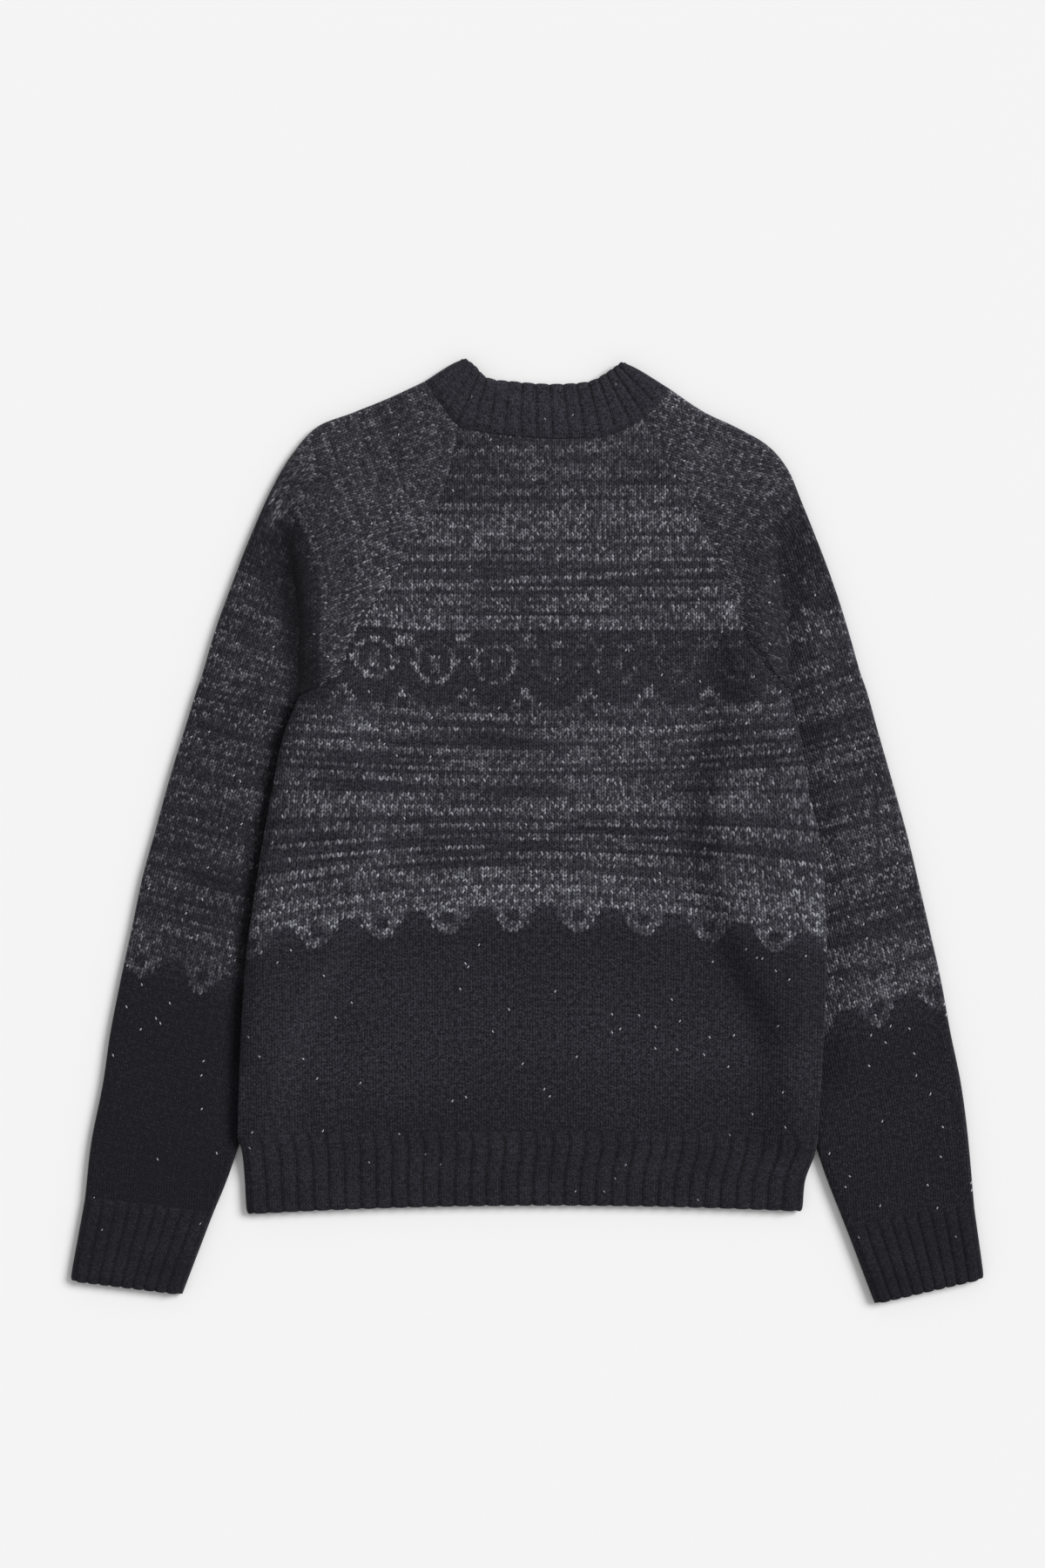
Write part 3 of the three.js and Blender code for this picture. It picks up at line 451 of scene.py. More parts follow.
def distance_to(points, flat):
    """How far places lie from a line through these points."""
    x, y = flat[..., 0], flat[..., 1]
    nearest = np.full_like(x, np.inf)
    for (ax, ay), (bx, by) in zip(points, points[1:]):
        run_x, run_y = bx - ax, by - ay
        share = np.clip(((x - ax) * run_x + (y - ay) * run_y) / (run_x ** 2 + run_y ** 2), 0, 1)
        nearest = np.minimum(nearest, np.hypot(x - ax - share * run_x, y - ay - share * run_y))
    return nearest


def soft_relief(flat):
    """Height that the soft creases and swells add at places of the top surface."""
    x, y = flat[..., 0], flat[..., 1]
    height = np.zeros_like(x)
    for width, lift, points in SOFT_FOLDS:
        height += lift * fade(distance_to(points, flat) / (2 * width))
    for long_x, long_y, turn, lift in SWELLS:
        wave = np.sin(2 * math.pi * (x / long_x + 0.3 * np.sin(y / long_y * 2) + turn))
        height += lift * wave * np.cos(2 * math.pi * (y / long_y + 0.2 * np.sin(x / long_x) + turn))
    return height


def painted_crease_shade(flat):
    """How much painted shade places get in the darkest creases, from 0 to 1."""
    light = 1.0
    for reach, depth, line in PAINTED_CREASE_SHADES:
        light = light * (1 - depth * fade(distance_to(line, flat) / reach))
    return 1 - light


def trough(side, flat):
    """Depth of the trough beside a crease at places of a sleeve."""
    reach, depth, line = TROUGHS[side]
    return depth * fade(distance_to(line, flat) / reach)


def dip(distance, depth, reach=SEAM_REACH):
    """Depth of a dip at a distance from its seam."""
    return depth * np.exp(-(distance / reach) ** 2)


def to_edge(distance, width):
    """Distance from the nearer end of a row."""
    return np.minimum(distance, width - distance)


def fold_rise(distance):
    """Share of the height reached at a distance from a folded edge."""
    share = 1 - unit(distance / FOLD_RADIUS)
    return np.sqrt(1 - share ** 2)


def fold_level(distance, width, above):
    """Height of a tube's folds; at the inner one the sides part by half a gap, 1 above, -1 below."""
    return FOLD_RADIUS + above * SEAM_GAP / 2 * (distance < width / 2)


def folded_inside(distance, width):
    """How far from the edge the inside of a folded wall lies."""
    near = to_edge(distance, width)
    inner = near + PLY * fade(near / CAVITY_BLEND)
    return np.where(distance < width / 2, inner, width - inner)


def ends_of(row, side):
    """Where the rows of a table end on one side."""
    return np.hstack([row[side + "_x"], row[side + "_y"]])


def width_between(first, last):
    return np.linalg.norm(last - first, axis=1, keepdims=True)


def unit(values):
    return np.clip(values, 0, 1)


def surface(*sides):
    """Points of the sides of a piece, from places in plan and heights, next to each other in its rows."""
    return np.hstack([np.concatenate([flat, height[..., None]], axis=-1) for flat, height in sides])


def places_down(first, second, spacing):
    """Places in a table, evenly spaced midway between the ends of its rows; one is the armpit."""
    length = travelled((first + second) / 2)
    steps = max(2, round(length[-1] / spacing))
    places = np.interp(np.linspace(0, length[-1], steps + 1), length, np.arange(len(length)))
    places[np.abs(places - RAGLAN_ROWS).argmin()] = RAGLAN_ROWS
    return places


def places_across(width, steps, margin=EDGE_END):
    """Distances from the left end of each row, close together within the margins and even between."""
    edge = EDGE_PLACES[EDGE_PLACES < margin]
    start = np.broadcast_to(edge, (len(width), len(edge)))
    inner = margin + np.linspace(0, 1, steps + 1) * (width - 2 * margin)
    return np.hstack([start, inner, width - start[:, ::-1]])


def kept(count, step, also=()):
    """Which of the outside's rows or columns the plain inside keeps."""
    steps = max(1, round((count - 1) / step))
    even = np.round(np.linspace(0, count - 1, steps + 1))
    return np.unique(np.append(even, also).astype(int))


def lace(outer, inner, places):
    """Triangles between a fine line of points and a coarse one, which stands at places of the fine one."""
    faces = []
    for k in range(len(inner) - 1):
        start, end = places[k], places[k + 1]
        half = (start + end) // 2
        faces += [(outer[i], outer[i + 1], inner[k]) for i in range(start, half)]
        faces.append((outer[half], inner[k + 1], inner[k]))
        faces += [(outer[i], outer[i + 1], inner[k + 1]) for i in range(half, end)]
    return faces


def grid_face(points, stitches, turned=None):
    """A grid set to these points, with a UV map of stitches, and another one up to a column and row."""
    rows, columns = points.shape[:2]
    bpy.ops.object.select_all(action="DESELECT")
    bpy.ops.mesh.primitive_grid_add(x_subdivisions=columns - 1, y_subdivisions=rows - 1, size=1)
    face = bpy.context.object
    face.data.vertices.foreach_set("co", (points * MM).ravel())
    corners = np.empty(len(face.data.loops), int)
    face.data.loops.foreach_get("vertex_index", corners)
    flat = stitches.reshape(-1, 2)[corners]
    if turned:
        other, last_column, last_row = turned
        across = (corners % columns).reshape(-1, 4).max(axis=1)
        down = (corners // columns).reshape(-1, 4).max(axis=1)
        chosen = np.repeat((across <= last_column) & (down <= last_row), 4)
        flat[chosen] = other.reshape(-1, 2)[corners[chosen]]
    layer = face.data.uv_layers[0]
    layer.name = "stitches"
    layer.uv.foreach_set("vector", flat.ravel())
    return face


def knit_sheet(name, outside, inside, steps, stitches, seam=None, fold=(), turned=None, ring=False):
    """One knitted piece: a fine outside and a plain inside with a closed edge between them."""
    rows, columns = kept(outside.shape[0], steps[0]), kept(outside.shape[1], steps[1], fold)
    coarse = np.ix_(rows, columns)
    piece = grid_face(outside, stitches, turned)
    grid_face(inside[coarse], stitches[coarse])
    piece.select_set(True)
    bpy.context.view_layer.objects.active = piece
    bpy.ops.object.join()
    piece.name = piece.data.name = name
    if seam is not None:
        # The second attribute holds the painted shade of the deep creases, which the material lays on the
        # colour
        for key, values in (("seam", seam), ("painted_crease_shade", painted_crease_shade(outside))):
            both = np.concatenate([values.ravel(), values[coarse].ravel()])
            piece.data.attributes.new(key, "FLOAT", "POINT").data.foreach_set("value", both)

    outer = np.arange(outside[..., 0].size).reshape(outside.shape[:2])
    inner = outer.size + np.arange(len(rows) * len(columns)).reshape(len(rows), len(columns))
    faces = lace(outer[0], inner[0], columns) + lace(outer[-1], inner[-1], columns)
    if not ring:
        faces += lace(outer[:, 0], inner[:, 0], rows) + lace(outer[:, -1], inner[:, -1], rows)
    flat = np.vstack([stitches.reshape(-1, 2), stitches[coarse].reshape(-1, 2)])
    mesh = bmesh.new()
    mesh.from_mesh(piece.data)
    mesh.verts.ensure_lookup_table()
    layer = mesh.loops.layers.uv.active
    for corners in faces:
        made = mesh.faces.new([mesh.verts[k] for k in corners])
        for loop, k in zip(made.loops, corners):
            loop[layer].uv = flat[k]
    if ring:
        bmesh.ops.remove_doubles(mesh, verts=mesh.verts, dist=1e-7)
    bmesh.ops.recalc_face_normals(mesh, faces=mesh.faces)
    mesh.to_mesh(piece.data)
    mesh.free()
    bpy.ops.object.shade_smooth_by_angle(angle=math.radians(70))
    piece.location = (0, 0, 0)
    return piece


def declare(piece, material):
    """Rides on the body and stands for its solid."""
    piece.data.materials.append(material)
    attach(piece, "root")
    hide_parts(piece.name.removesuffix("_knit"))


def body_stitches(flat):
    """Wale and course numbers on the body; the courses bow where the cloth is pulled."""
    x, y = flat[..., 0], flat[..., 1]
    share = np.clip((x - BOW_CENTRE) / HALF_BODY, -BOW_LIMIT, BOW_LIMIT) ** 2
    middle = y
    for _ in range(3):
        middle = y + share * from_rows(BOW_ROWS, middle)
    at_x, at_y, reach_x, reach_y = ARMPIT
    middle = middle - ARMPIT_PULL * np.exp(-((x - at_x) / reach_x) ** 2 - ((y - at_y) / reach_y) ** 2)
    wales = (x - BODY_MIDDLE) / from_rows(WALE_ROWS, y)
    return np.stack([wales, middle / COURSE], axis=-1)


def joined_neck(flat, places, line, corners, first, last, share):
    """Bends the top rows of a piece, from first to last point, onto the neck seam."""
    start, end = corners
    seam = on_curve(line, mix(start, end, share[:1]))
    miss = mix((first - on_curve(line, start))[None, None], (last - on_curve(line, end))[None, None],
               share[:1, :, None])
    own = unit(1 - places / NECK_ROWS)[:, None, None]
    return flat + (seam + miss - flat[:1]) * own


def hung_rows(row, distance, width):
    """Places on the rows of a panel, which hang lower in the middle."""
    share = distance / width
    flat = mix(ends_of(row, "left")[:, None], ends_of(row, "right")[:, None], share[..., None])
    flat[..., 1] -= row["sag"] * 4 * share * (1 - share)
    return flat


def lifted(row, distance, width):
    """Height of a panel over the floor, where it lies on the sleeves at its sides."""
    reach = (to_edge(distance, width) - row["ramp"]) / (row["foot"] - row["ramp"])
    return SLEEVE_LIFT * unit(row["lift"]) * fade(reach)


def panel_inside(row, spot, distance, width, is_back):
    """Inside of a panel, one ply from its face on the other panel or the floor."""
    return surface((spot(distance), lifted(row, distance, width) + (PLY + LAYER_GAP if is_back else PLY)))


def seamless(down):
    """Share of NO_SEAM in the distances from the raglan seams, at rows of a table."""
    return fade((down - SEAM_START) / SEAM_START)


def body_panel(name, table, neck, is_back, spacing):
    """Back or front: raglan seams above the armpits, folds at the sides below them."""
    line = along_curve(neck)
    whole = table.read()
    places = places_down(ends_of(whole, "left"), ends_of(whole, "right"), spacing)
    row, down = table.read(places), places[:, None]
    row["left_x"] += SEAM_GAP / 2 * (down <= RAGLAN_ROWS)
    row["right_x"] -= SEAM_GAP / 2 * (down <= RAGLAN_ROWS)
    left, right = ends_of(row, "left"), ends_of(row, "right")
    width = width_between(left, right)
    corners = share_near(line, left[0]), share_near(line, right[0])
    distance = places_across(width, max(4, round((float(width.max()) - 2 * EDGE_END) / spacing)))

    def spot(distance):
        flat = hung_rows(row, distance, width)
        return joined_neck(flat, places, line, corners, left[0], right[0], distance / width)

    folded = 1 - fade((down - RAGLAN_ROWS + FOLD_ROWS) / FOLD_ROWS)
    near = to_edge(distance, width)
    flat, raised = spot(distance), lifted(row, distance, width)
    if is_back:
        low = raised + FOLD_RADIUS + SEAM_GAP / 2
        relief = soft_relief(flat) * (1 - fade(near / CALM_EDGE))
        relief = relief - SIDE_ROUND * folded * fade(near / SIDE_REACH) - dip(near, SEAM_DIP) * (1 - folded)
        top = raised + TWO_PLIES + relief - dip(down, SEAM_DIP, NECK_REACH)
    else:
        low, top = raised + FOLD_RADIUS - SEAM_GAP / 2, raised * folded
    outside = surface((flat, mix(low, top, mix(1, fold_rise(near), folded))))
    inner_at = mix(distance, folded_inside(distance, width), folded)
    inside = panel_inside(row, spot, inner_at, width, is_back)
    seam = mix(near, NO_SEAM, np.maximum(folded, seamless(down)))
    return knit_sheet(name, outside, inside, PLAIN_STEPS, body_stitches(flat), seam)


def rib_places(count, shares):
    """Places in a table whose rows come at these shares of evenly counted points."""
    return np.interp(np.linspace(0, 1, count), shares, np.arange(float(len(shares))))


def rib_crest(phase):
    """Height of a rib, from 0 in its groove to 1 on its round crest, at a phase in ribs."""
    part = phase - np.floor(phase)
    return 1 - np.abs(2 * part - 1) ** RIB_ROUNDNESS


def rib_phase(distance, width, count):
    return (distance - FOLD_RADIUS) / (width - 2 * FOLD_RADIUS) * count


def rib_stitches(phase, down):
    """Wale and course numbers on ribbing, with a groove in the middle of every third wale."""
    return np.stack([phase * WALES_PER_RIB + 0.5, -down / COURSE + 0 * phase], axis=-1)


def free_edge(down, depth):
    """How much the softened free edge of ribbing comes down, at distances from its start."""
    return FREE_EDGE_DROP * unit(1 - (depth - down) / FREE_EDGE_DEPTH) ** 2


def rib_tips(crest, down, depth):
    """How far the ribs stand out past the grooves at the free edge."""
    return RIB_TIP * crest * unit((down - depth + RIB_TIP_DEPTH) / RIB_TIP_DEPTH) ** 2


def hem_rib(name, is_back, rib_height):
    """Welt of the back or the front, which goes round to the other one at its sides."""
    places = rib_places(*HEM_POINTS)
    row = HEM.read(places)
    width = width_between(ends_of(row, "left"), ends_of(row, "right"))
    points = RIB_POINTS if is_back else UNDER_RIB_POINTS["hem"]
    distance = places_across(width, HEM_RIBS * points, FOLD_RADIUS)
    down = row["left_y"][0] - row["left_y"]
    gap = RIB_GAP * (1 - unit(places))[:, None]

    def spot(distance):
        flat = hung_rows(row, distance, width)
        flat[..., 1] -= gap
        return flat

    near, phase = to_edge(distance, width), rib_phase(distance, width, HEM_RIBS)
    flat, raised = spot(distance), lifted(row, distance, width)
    if is_back:
        crest = rib_crest(phase) * (near >= FOLD_RADIUS) * rib_height / MM * unit(row["rib"])
        relief = HEM_RELIEF * soft_relief(flat) * (1 - fade(near / CALM_EDGE))
        low = raised + FOLD_RADIUS + SEAM_GAP / 2
        top = raised + TWO_PLIES + crest + relief - dip(down, RIB_DIP) - free_edge(down, down.max())
        flat[..., 1] -= rib_tips(rib_crest(phase), down, down.max())
    else:
        low, top = raised + FOLD_RADIUS - SEAM_GAP / 2, raised
    outside = surface((flat, mix(low, top, fold_rise(near))))
    inside = panel_inside(row, spot, folded_inside(distance, width), width, is_back)
    return knit_sheet(name, outside, inside, PANEL_STEPS, rib_stitches(phase, down))


def sleeve_stitches(table, places, lift, side, on_cap, flat, across):
    """Wale and course numbers on a sleeve: across the shoulder near the neck and down the arm below it."""
    whole, down = table.read(), places[:, None]
    outer = ends_of(whole, "out")
    here, band = (np.interp(at, np.arange(len(table)), travelled(outer)) for at in (places, BAND_ROW))
    course = np.where(here < band, (band - here) / band * NECK_COURSES, (band - here) / ARM_COURSE)
    arm = np.stack([across / ARM_WALE, course[:, None] + 0 * across], axis=-1)
    way = np.array([side * math.cos(SHOULDER_SLOPE), -math.sin(SHOULDER_SLOPE)])
    turned = np.array([side * math.sin(SHOULDER_SLOPE), math.cos(SHOULDER_SLOPE)])
    course = NECK_COURSES - (flat - ends_of(whole, "in")[0]) @ way / SHOULDER_COURSE
    course += from_rows(CAP_SHIFT[side], flat[..., 1])
    shoulder = np.stack([-((flat - outer[SHOULDER_ROW]) @ turned) / ARM_WALE, course], axis=-1)
    turn = 1 - fade((down - TURN_START) / (TURN_END - TURN_START))
    if on_cap:
        turn = turn * (1 - np.where(down > RAGLAN_ROWS - 1, 1.0, lift))
        turn = turn * (1 - across / across.max(axis=1, keepdims=True))
    else:
        turn = np.where(down >= RAGLAN_ROWS, 1.0, turn)
    return mix(shoulder, arm, turn[..., None])


def sleeve(name, table, side, spacing):
    """A sleeve: its folded cap comes down on the arm at the crease; side is -1 for the left one."""
    whole = table.read()
    places = places_down(ends_of(whole, "in"), ends_of(whole, "out"), spacing)
    row, down = table.read(places), places[:, None]
    joined = down >= RAGLAN_ROWS
    outer = ends_of(row, "out")

    def layer(body, neck):
        """Width of the rows of the upper or lower side, and what finds places on it."""
        line = along_curve(neck)
        seam = ends_of(body.read(places), "left" if side < 0 else "right") + [side * SEAM_GAP / 2, 0]
        start = np.where(joined, ends_of(row, "in"), seam)
        corners = share_near(line, start[0]), float(side > 0)
        width = width_between(start, outer)

        def spot(distance):
            share = distance / width
            flat = mix(start[:, None], outer[:, None], share[..., None])
            return joined_neck(flat, places, line, corners, start[0], outer[0], share)

        return width, spot

    def rise(distance, width):
        return np.minimum(fold_rise(width - distance), np.where(joined, fold_rise(distance), 1))

    def steps(width):
        return max(6, round(float(width.max()) / spacing / 2))

    def inner(distance, width):
        open_end = ~joined & (distance < width / 2)
        return np.where(open_end, distance, folded_inside(distance, width))

    width, on_top = layer(BACK_BODY, BACK_NECK)
    crease = width * row["crease"]
    scale = np.minimum(1, crease / NARROW_CAP)
    even = np.linspace(0, 1, steps(width) + 1)[1:]
    start = EDGE_PLACES * scale
    lip_width = CREASE_EDGE * scale
    cap = start[:, -1:] + even * (crease - lip_width - start[:, -1:])
    lip = crease - lip_width * (1 - np.sin(LIP_TURNS))
    foot = crease + CREASE_FOOT * scale * (1 - np.cos(FOOT_TURNS))
    arm = foot[:, -1:] + even * (width - EDGE_END - foot[:, -1:])
    top = np.hstack([start, cap, lip, foot, arm, width - EDGE_PLACES[::-1]])
    flat, far, seam = on_top(top), width - top, np.where(joined, NO_SEAM, top)

    past = unit((top - crease + lip_width) / lip_width)
    over = np.where(top <= crease, unit(1 - past ** LIP_FORM[0]) ** LIP_FORM[1], 0)
    cap_lift = unit(row["crease_lift"])
    lift = mix(unit(row["seam_lift"]), cap_lift, unit(top / crease))
    relief = soft_relief(flat) - trough(side, flat)
    relief = relief * (1 - fade(far / CALM_EDGE)) * (1 - fade(seam / CALM_EDGE)) - dip(seam, SEAM_DIP)
    ends = dip(down, SEAM_DIP, NECK_REACH) + dip(down - len(table) + 1, RIB_DIP, CUFF_REACH)
    height = TWO_PLIES + SLEEVE_LIFT * lift * over + relief - ends

    under_width, on_under = layer(FRONT_BODY, FRONT_NECK)
    under = places_across(under_width, steps(under_width))[:, ::-1][:, 1:]
    under_flat = on_under(under)
    outside = surface(
        (flat, mix(fold_level(top, width, 1), height, rise(top, width))),
        (under_flat, mix(fold_level(under, under_width, -1), 0, rise(under, under_width))))
    top_inner, under_inner = on_top(inner(top, width)), on_under(inner(under, under_width))
    inner_height = np.where(far < TOUCH, FOLD_RADIUS, PLY + LAYER_GAP - SQUEEZE * trough(side, top_inner))
    inside = surface((top_inner, inner_height), (under_inner, PLY - SQUEEZE * trough(side, under_inner)))

    def stitches(on_cap):
        know = table, places, cap_lift, side
        return np.hstack([sleeve_stitches(*know, on_cap, flat, far),
                          sleeve_stitches(*know, False, under_flat, under - under_width)])

    cap_end = start.shape[1] + cap.shape[1] + lip.shape[1] - 1
    turned = stitches(True), cap_end, int(np.abs(places - RAGLAN_ROWS).argmin())
    seam = mix(np.hstack([seam, np.where(joined, NO_SEAM, under)]), NO_SEAM, seamless(down))
    return knit_sheet(name, outside, inside, PLAIN_STEPS, stitches(False), np.minimum(seam, NO_SEAM),
                      fold=top.shape[1] - 1, turned=turned)


def ribbed_tube(name, count, upper, lower, under_steps, down, crest_height, tip_way, seam_dip,
                fall=None, gap=0.0, ring=False):
    """Ribbing pressed flat, from the widths and places of its sides; a ring has no side seam."""
    (width, on_top), (under_width, on_under) = upper, lower
    top = places_across(width, count * RIB_POINTS, FOLD_RADIUS)
    under = places_across(under_width, under_steps, FOLD_RADIUS)[:, ::-1][:, 1:]
    near, under_near = to_edge(top, width), to_edge(under, under_width)
    phase, depth, split = rib_phase(top, width, count), down.max(), 0 if ring else 1
    crest = rib_crest(phase) * (near >= FOLD_RADIUS)
    tips = rib_tips(rib_crest(phase) if ring else crest, down, depth)
    inner = on_top(folded_inside(top, width))
    fallen = fall(inner) if fall else 0
    height = TWO_PLIES - fallen + crest * crest_height(phase) - free_edge(down, depth) - dip(down, seam_dip)
    outside = surface(
        (on_top(top) + tip_way * tips[..., None],
         mix(fold_level(top, width, split), height, fold_rise(near))),
        (on_under(under), mix(fold_level(under, under_width, -split), 0, fold_rise(under_near))))
    closed = (near if ring else width - top) < TOUCH
    under_height = np.where(ring & (under_near < TOUCH), FOLD_RADIUS, PLY)
    inside = surface((inner, np.where(closed, FOLD_RADIUS, PLY + LAYER_GAP - fallen)),
                     (on_under(folded_inside(under, under_width)), under_height))
    for grid in (outside, inside):
        grid[0, :, 1] += gap
    phase = np.hstack([phase, rib_phase(under, under_width, count)])
    stitches = rib_stitches(phase, -down if ring else down)
    return knit_sheet(name, outside, inside, TUBE_STEPS, stitches, fold=top.shape[1] - 1, ring=ring)


def cuff(name, table, rib_height):
    places = rib_places(*CUFF_POINTS)
    row = table.read(places)
    start, end = ends_of(row, "in"), ends_of(row, "out")
    width = width_between(start, end)
    run = (start + end - start[0] - end[0]) / 2
    down = np.linalg.norm(run, axis=1, keepdims=True)
    way = run[-1] / down[-1]
    gap = RIB_GAP * (1 - unit(places))[:, None, None]

    def spot(distance):
        return mix(start[:, None], end[:, None], (distance / width)[..., None]) + way * gap

    def crest_height(phase):
        return rib_height / MM * unit(row["rib"])

    side = width, spot
    return ribbed_tube(name, CUFF_RIBS, side, side, CUFF_RIBS * UNDER_RIB_POINTS["cuff"], down,
                       crest_height, way, RIB_DIP)


def collar_ring(name, rib_height):
    """Mock neck: its back lies over its front and comes down past the front's edge."""
    heights = np.array(COLLAR_POINTS)[:, None]
    rim = along_curve(FRONT_COLLAR_TOP)[::20]

    def layer(seam, edge, spread):
        """Width of the rows of the back or the front, and what finds places on it."""
        low, high = along_curve(seam), along_curve(edge)
        width = mix(travelled(low)[-1], travelled(high)[-1], heights)

        def spot(distance):
            share = distance / width
            moved = share - spread * np.sin(2 * math.pi * share) / (2 * math.pi)
            flat = mix(on_curve(low, share), on_curve(high, moved), heights[..., None])
            peak = fade(to_edge(distance, width) / COLLAR_PEAK_REACH) ** 2
            flat[..., 1] -= COLLAR_PEAK * peak * heights ** 5
            return flat

        return width, spot

    def fall(points):
        away = np.linalg.norm(points[..., None, :] - rim, axis=-1)
        beyond = away.min(axis=-1) - COLLAR_DROP_START
        fallen = (PLY + LAYER_GAP) * (1 - fade(beyond / COLLAR_DROP_WIDTH))
        return np.where(points[..., 1] < rim[away.argmin(axis=-1)][..., 1], 0, fallen)

    def crest_height(phase):
        plain = mix(COLLAR_PLAIN_CREST, 1, 1 - fade((phase - 1) / (COLLAR_PLAIN_RIBS - 1)))
        return np.interp(heights, *COLLAR_RISE) * rib_height / MM * plain

    return ribbed_tube(name, COLLAR_RIBS, layer(BACK_NECK, BACK_COLLAR_TOP, COLLAR_SPREAD),
                       layer(FRONT_NECK, FRONT_COLLAR_TOP, 0), COLLAR_UNDER_POINTS, heights * COLLAR_HEIGHT,
                       crest_height, np.array([0, 1]), COLLAR_DIP, fall, COLLAR_SEAM_GAP, ring=True)


def maths(operation):
    """A method that adds one Math node."""
    def method(self, *others):
        return self.shader.node("ShaderNodeMath", [self, *others], operation=operation)
    return method


class Field:
    """A value of a material that changes over the cloth; sums on it add Math nodes."""

    def __init__(self, shader, socket):
        self.shader = shader
        self.socket = socket

    __add__ = __radd__ = maths("ADD")
    __mul__ = __rmul__ = maths("MULTIPLY")
    __sub__, __truediv__ = maths("SUBTRACT"), maths("DIVIDE")
    __lt__, __gt__ = maths("LESS_THAN"), maths("GREATER_THAN")
    at_least, at_most = maths("MAXIMUM"), maths("MINIMUM")
    floor, fraction = maths("FLOOR"), maths("FRACT")
    size, root = maths("ABSOLUTE"), maths("SQRT")

    def __rsub__(self, other):
        return self * -1 + other

    def step(self, low, high, start=0.0, end=1.0):
        """Goes softly from start to end as the value goes from low to high."""
        return self.shader.node("ShaderNodeMapRange", [self, low, high, start, end],
                                interpolation_type="SMOOTHSTEP")


class Shader:
    """A material with its shader and the nodes that feed it."""

    def __init__(self, name):
        self.material = bpy.data.materials.new(name)
        self.material.use_nodes = True
        self.tree = self.material.node_tree
        self.tree.nodes.clear()
        self.surface = self.tree.nodes.new("ShaderNodeBsdfPrincipled")
        output = self.tree.nodes.new("ShaderNodeOutputMaterial")
        self.tree.links.new(self.surface.outputs[0], output.inputs[0])

    def feed(self, socket, value):
        if isinstance(value, Field):
            self.tree.links.new(value.socket, socket)
        else:
            socket.default_value = value

    def node(self, kind, inputs=(), output=0, stops=(), **settings):
        """Adds a node with its settings and its inputs, a list by place or a table by name."""
        made = self.tree.nodes.new(kind)
        for key, value in settings.items():
            setattr(made, key, value)
        if stops:
            elements = made.color_ramp.elements
            for place, _ in stops[:-2]:
                elements.new(place)
            for element, (place, _) in zip(elements, stops):
                element.position = place
            for element, (_, colour) in zip(elements, stops):
                element.color = (*colour, 1)
        for key, value in inputs.items() if isinstance(inputs, dict) else enumerate(inputs):
            self.feed(made.inputs[key], value)
        return Field(self, made.outputs[output])

    def parts(self, field, kind="ShaderNodeSeparateXYZ"):
        """The three parts of a vector or a colour."""
        made = self.tree.nodes.new(kind)
        self.feed(made.inputs[0], field)
        return [Field(self, socket) for socket in made.outputs[:3]]

    def vector(self, x, y, z=0.0):
        return self.node("ShaderNodeCombineXYZ", [x, y, z])

    def set(self, **values):
        """Sets the shader's own sockets, by names with _ for a space."""
        for key, value in values.items():
            self.feed(self.surface.inputs[key.replace("_", " ")], value)

    def stored(self, name):
        """A value that the mesh carries at its points."""
        return self.node("ShaderNodeAttribute", attribute_name=name, output=2)

    def randoms(self, x, y, seed):
        """Three random values, the same all over one stitch."""
        return self.parts(self.node("ShaderNodeTexWhiteNoise", {"Vector": self.vector(x, y, seed)},
                                    output=1, noise_dimensions="3D"))

    def noise(self, x, y, detail, seed, scale=1.0):
        """Soft noise between about 0.2 and 0.8."""
        return self.node("ShaderNodeTexNoise", {"Vector": self.vector(x, y, seed), "Scale": scale,
                                                "Detail": detail}, noise_dimensions="3D")


# How far a stitch's legs lean, in courses a wale
STITCH_LEAN = 1.25


class Stitches:
    """The stitches of a knitted piece, read from its UV map."""

    def __init__(self, shader):
        self.u, self.v, _ = shader.parts(shader.node("ShaderNodeUVMap", uv_map="stitches"))
        self.wale = self.u.floor()
        across = self.u.fraction() - 0.5
        out = across.size()
        level = self.v - (out - 0.25) * STITCH_LEAN
        self.course = level.floor()
        along = level.fraction()
        ridge = 1 - (along * 2 - 1) * (along * 2 - 1)
        middle = (out - 0.25) * 4
        self.height = ridge.at_least(0.0).root() * (1 - middle * middle * 0.75)
        self.leg = self.wale * 2 + (across > 0)
        spot = middle * 1.1
        rise = along * 3.0 - 1.5
        self.from_middle = (spot * spot + rise * rise).root()

    def neps(self, random, least, reach, light):
        """Light of the pale specks, each in the middle of one leg."""
        return (random > least) * (self.from_middle < reach) * light


def knit_surface(shader, stitches, colour, relief, sheen):
    """Colour, relief and the soft nap of wool."""
    fibres = shader.noise(stitches.u * 5.0, stitches.v * 1.6, 3.0, 7.0, 3.0)
    height = stitches.height + fibres * 0.5
    bump = shader.node("ShaderNodeBump", {"Strength": 0.9, "Distance": relief, "Height": height})
    shader.set(Base_Color=colour, Roughness=0.92, Specular_IOR_Level=0.12, Normal=bump,
               Sheen_Weight=sheen, Sheen_Roughness=0.45, Sheen_Tint=(0.86, 0.87, 0.92, 1))
    return shader.material


def mix_colour(shader, low, high, share):
    """Goes from one colour to another; a colour is three numbers or a field."""
    low, high = (colour if isinstance(colour, Field) else (*colour, 1) for colour in (low, high))
    return shader.node("ShaderNodeMix", {0: share, 6: low, 7: high}, output=2, data_type="RGBA")


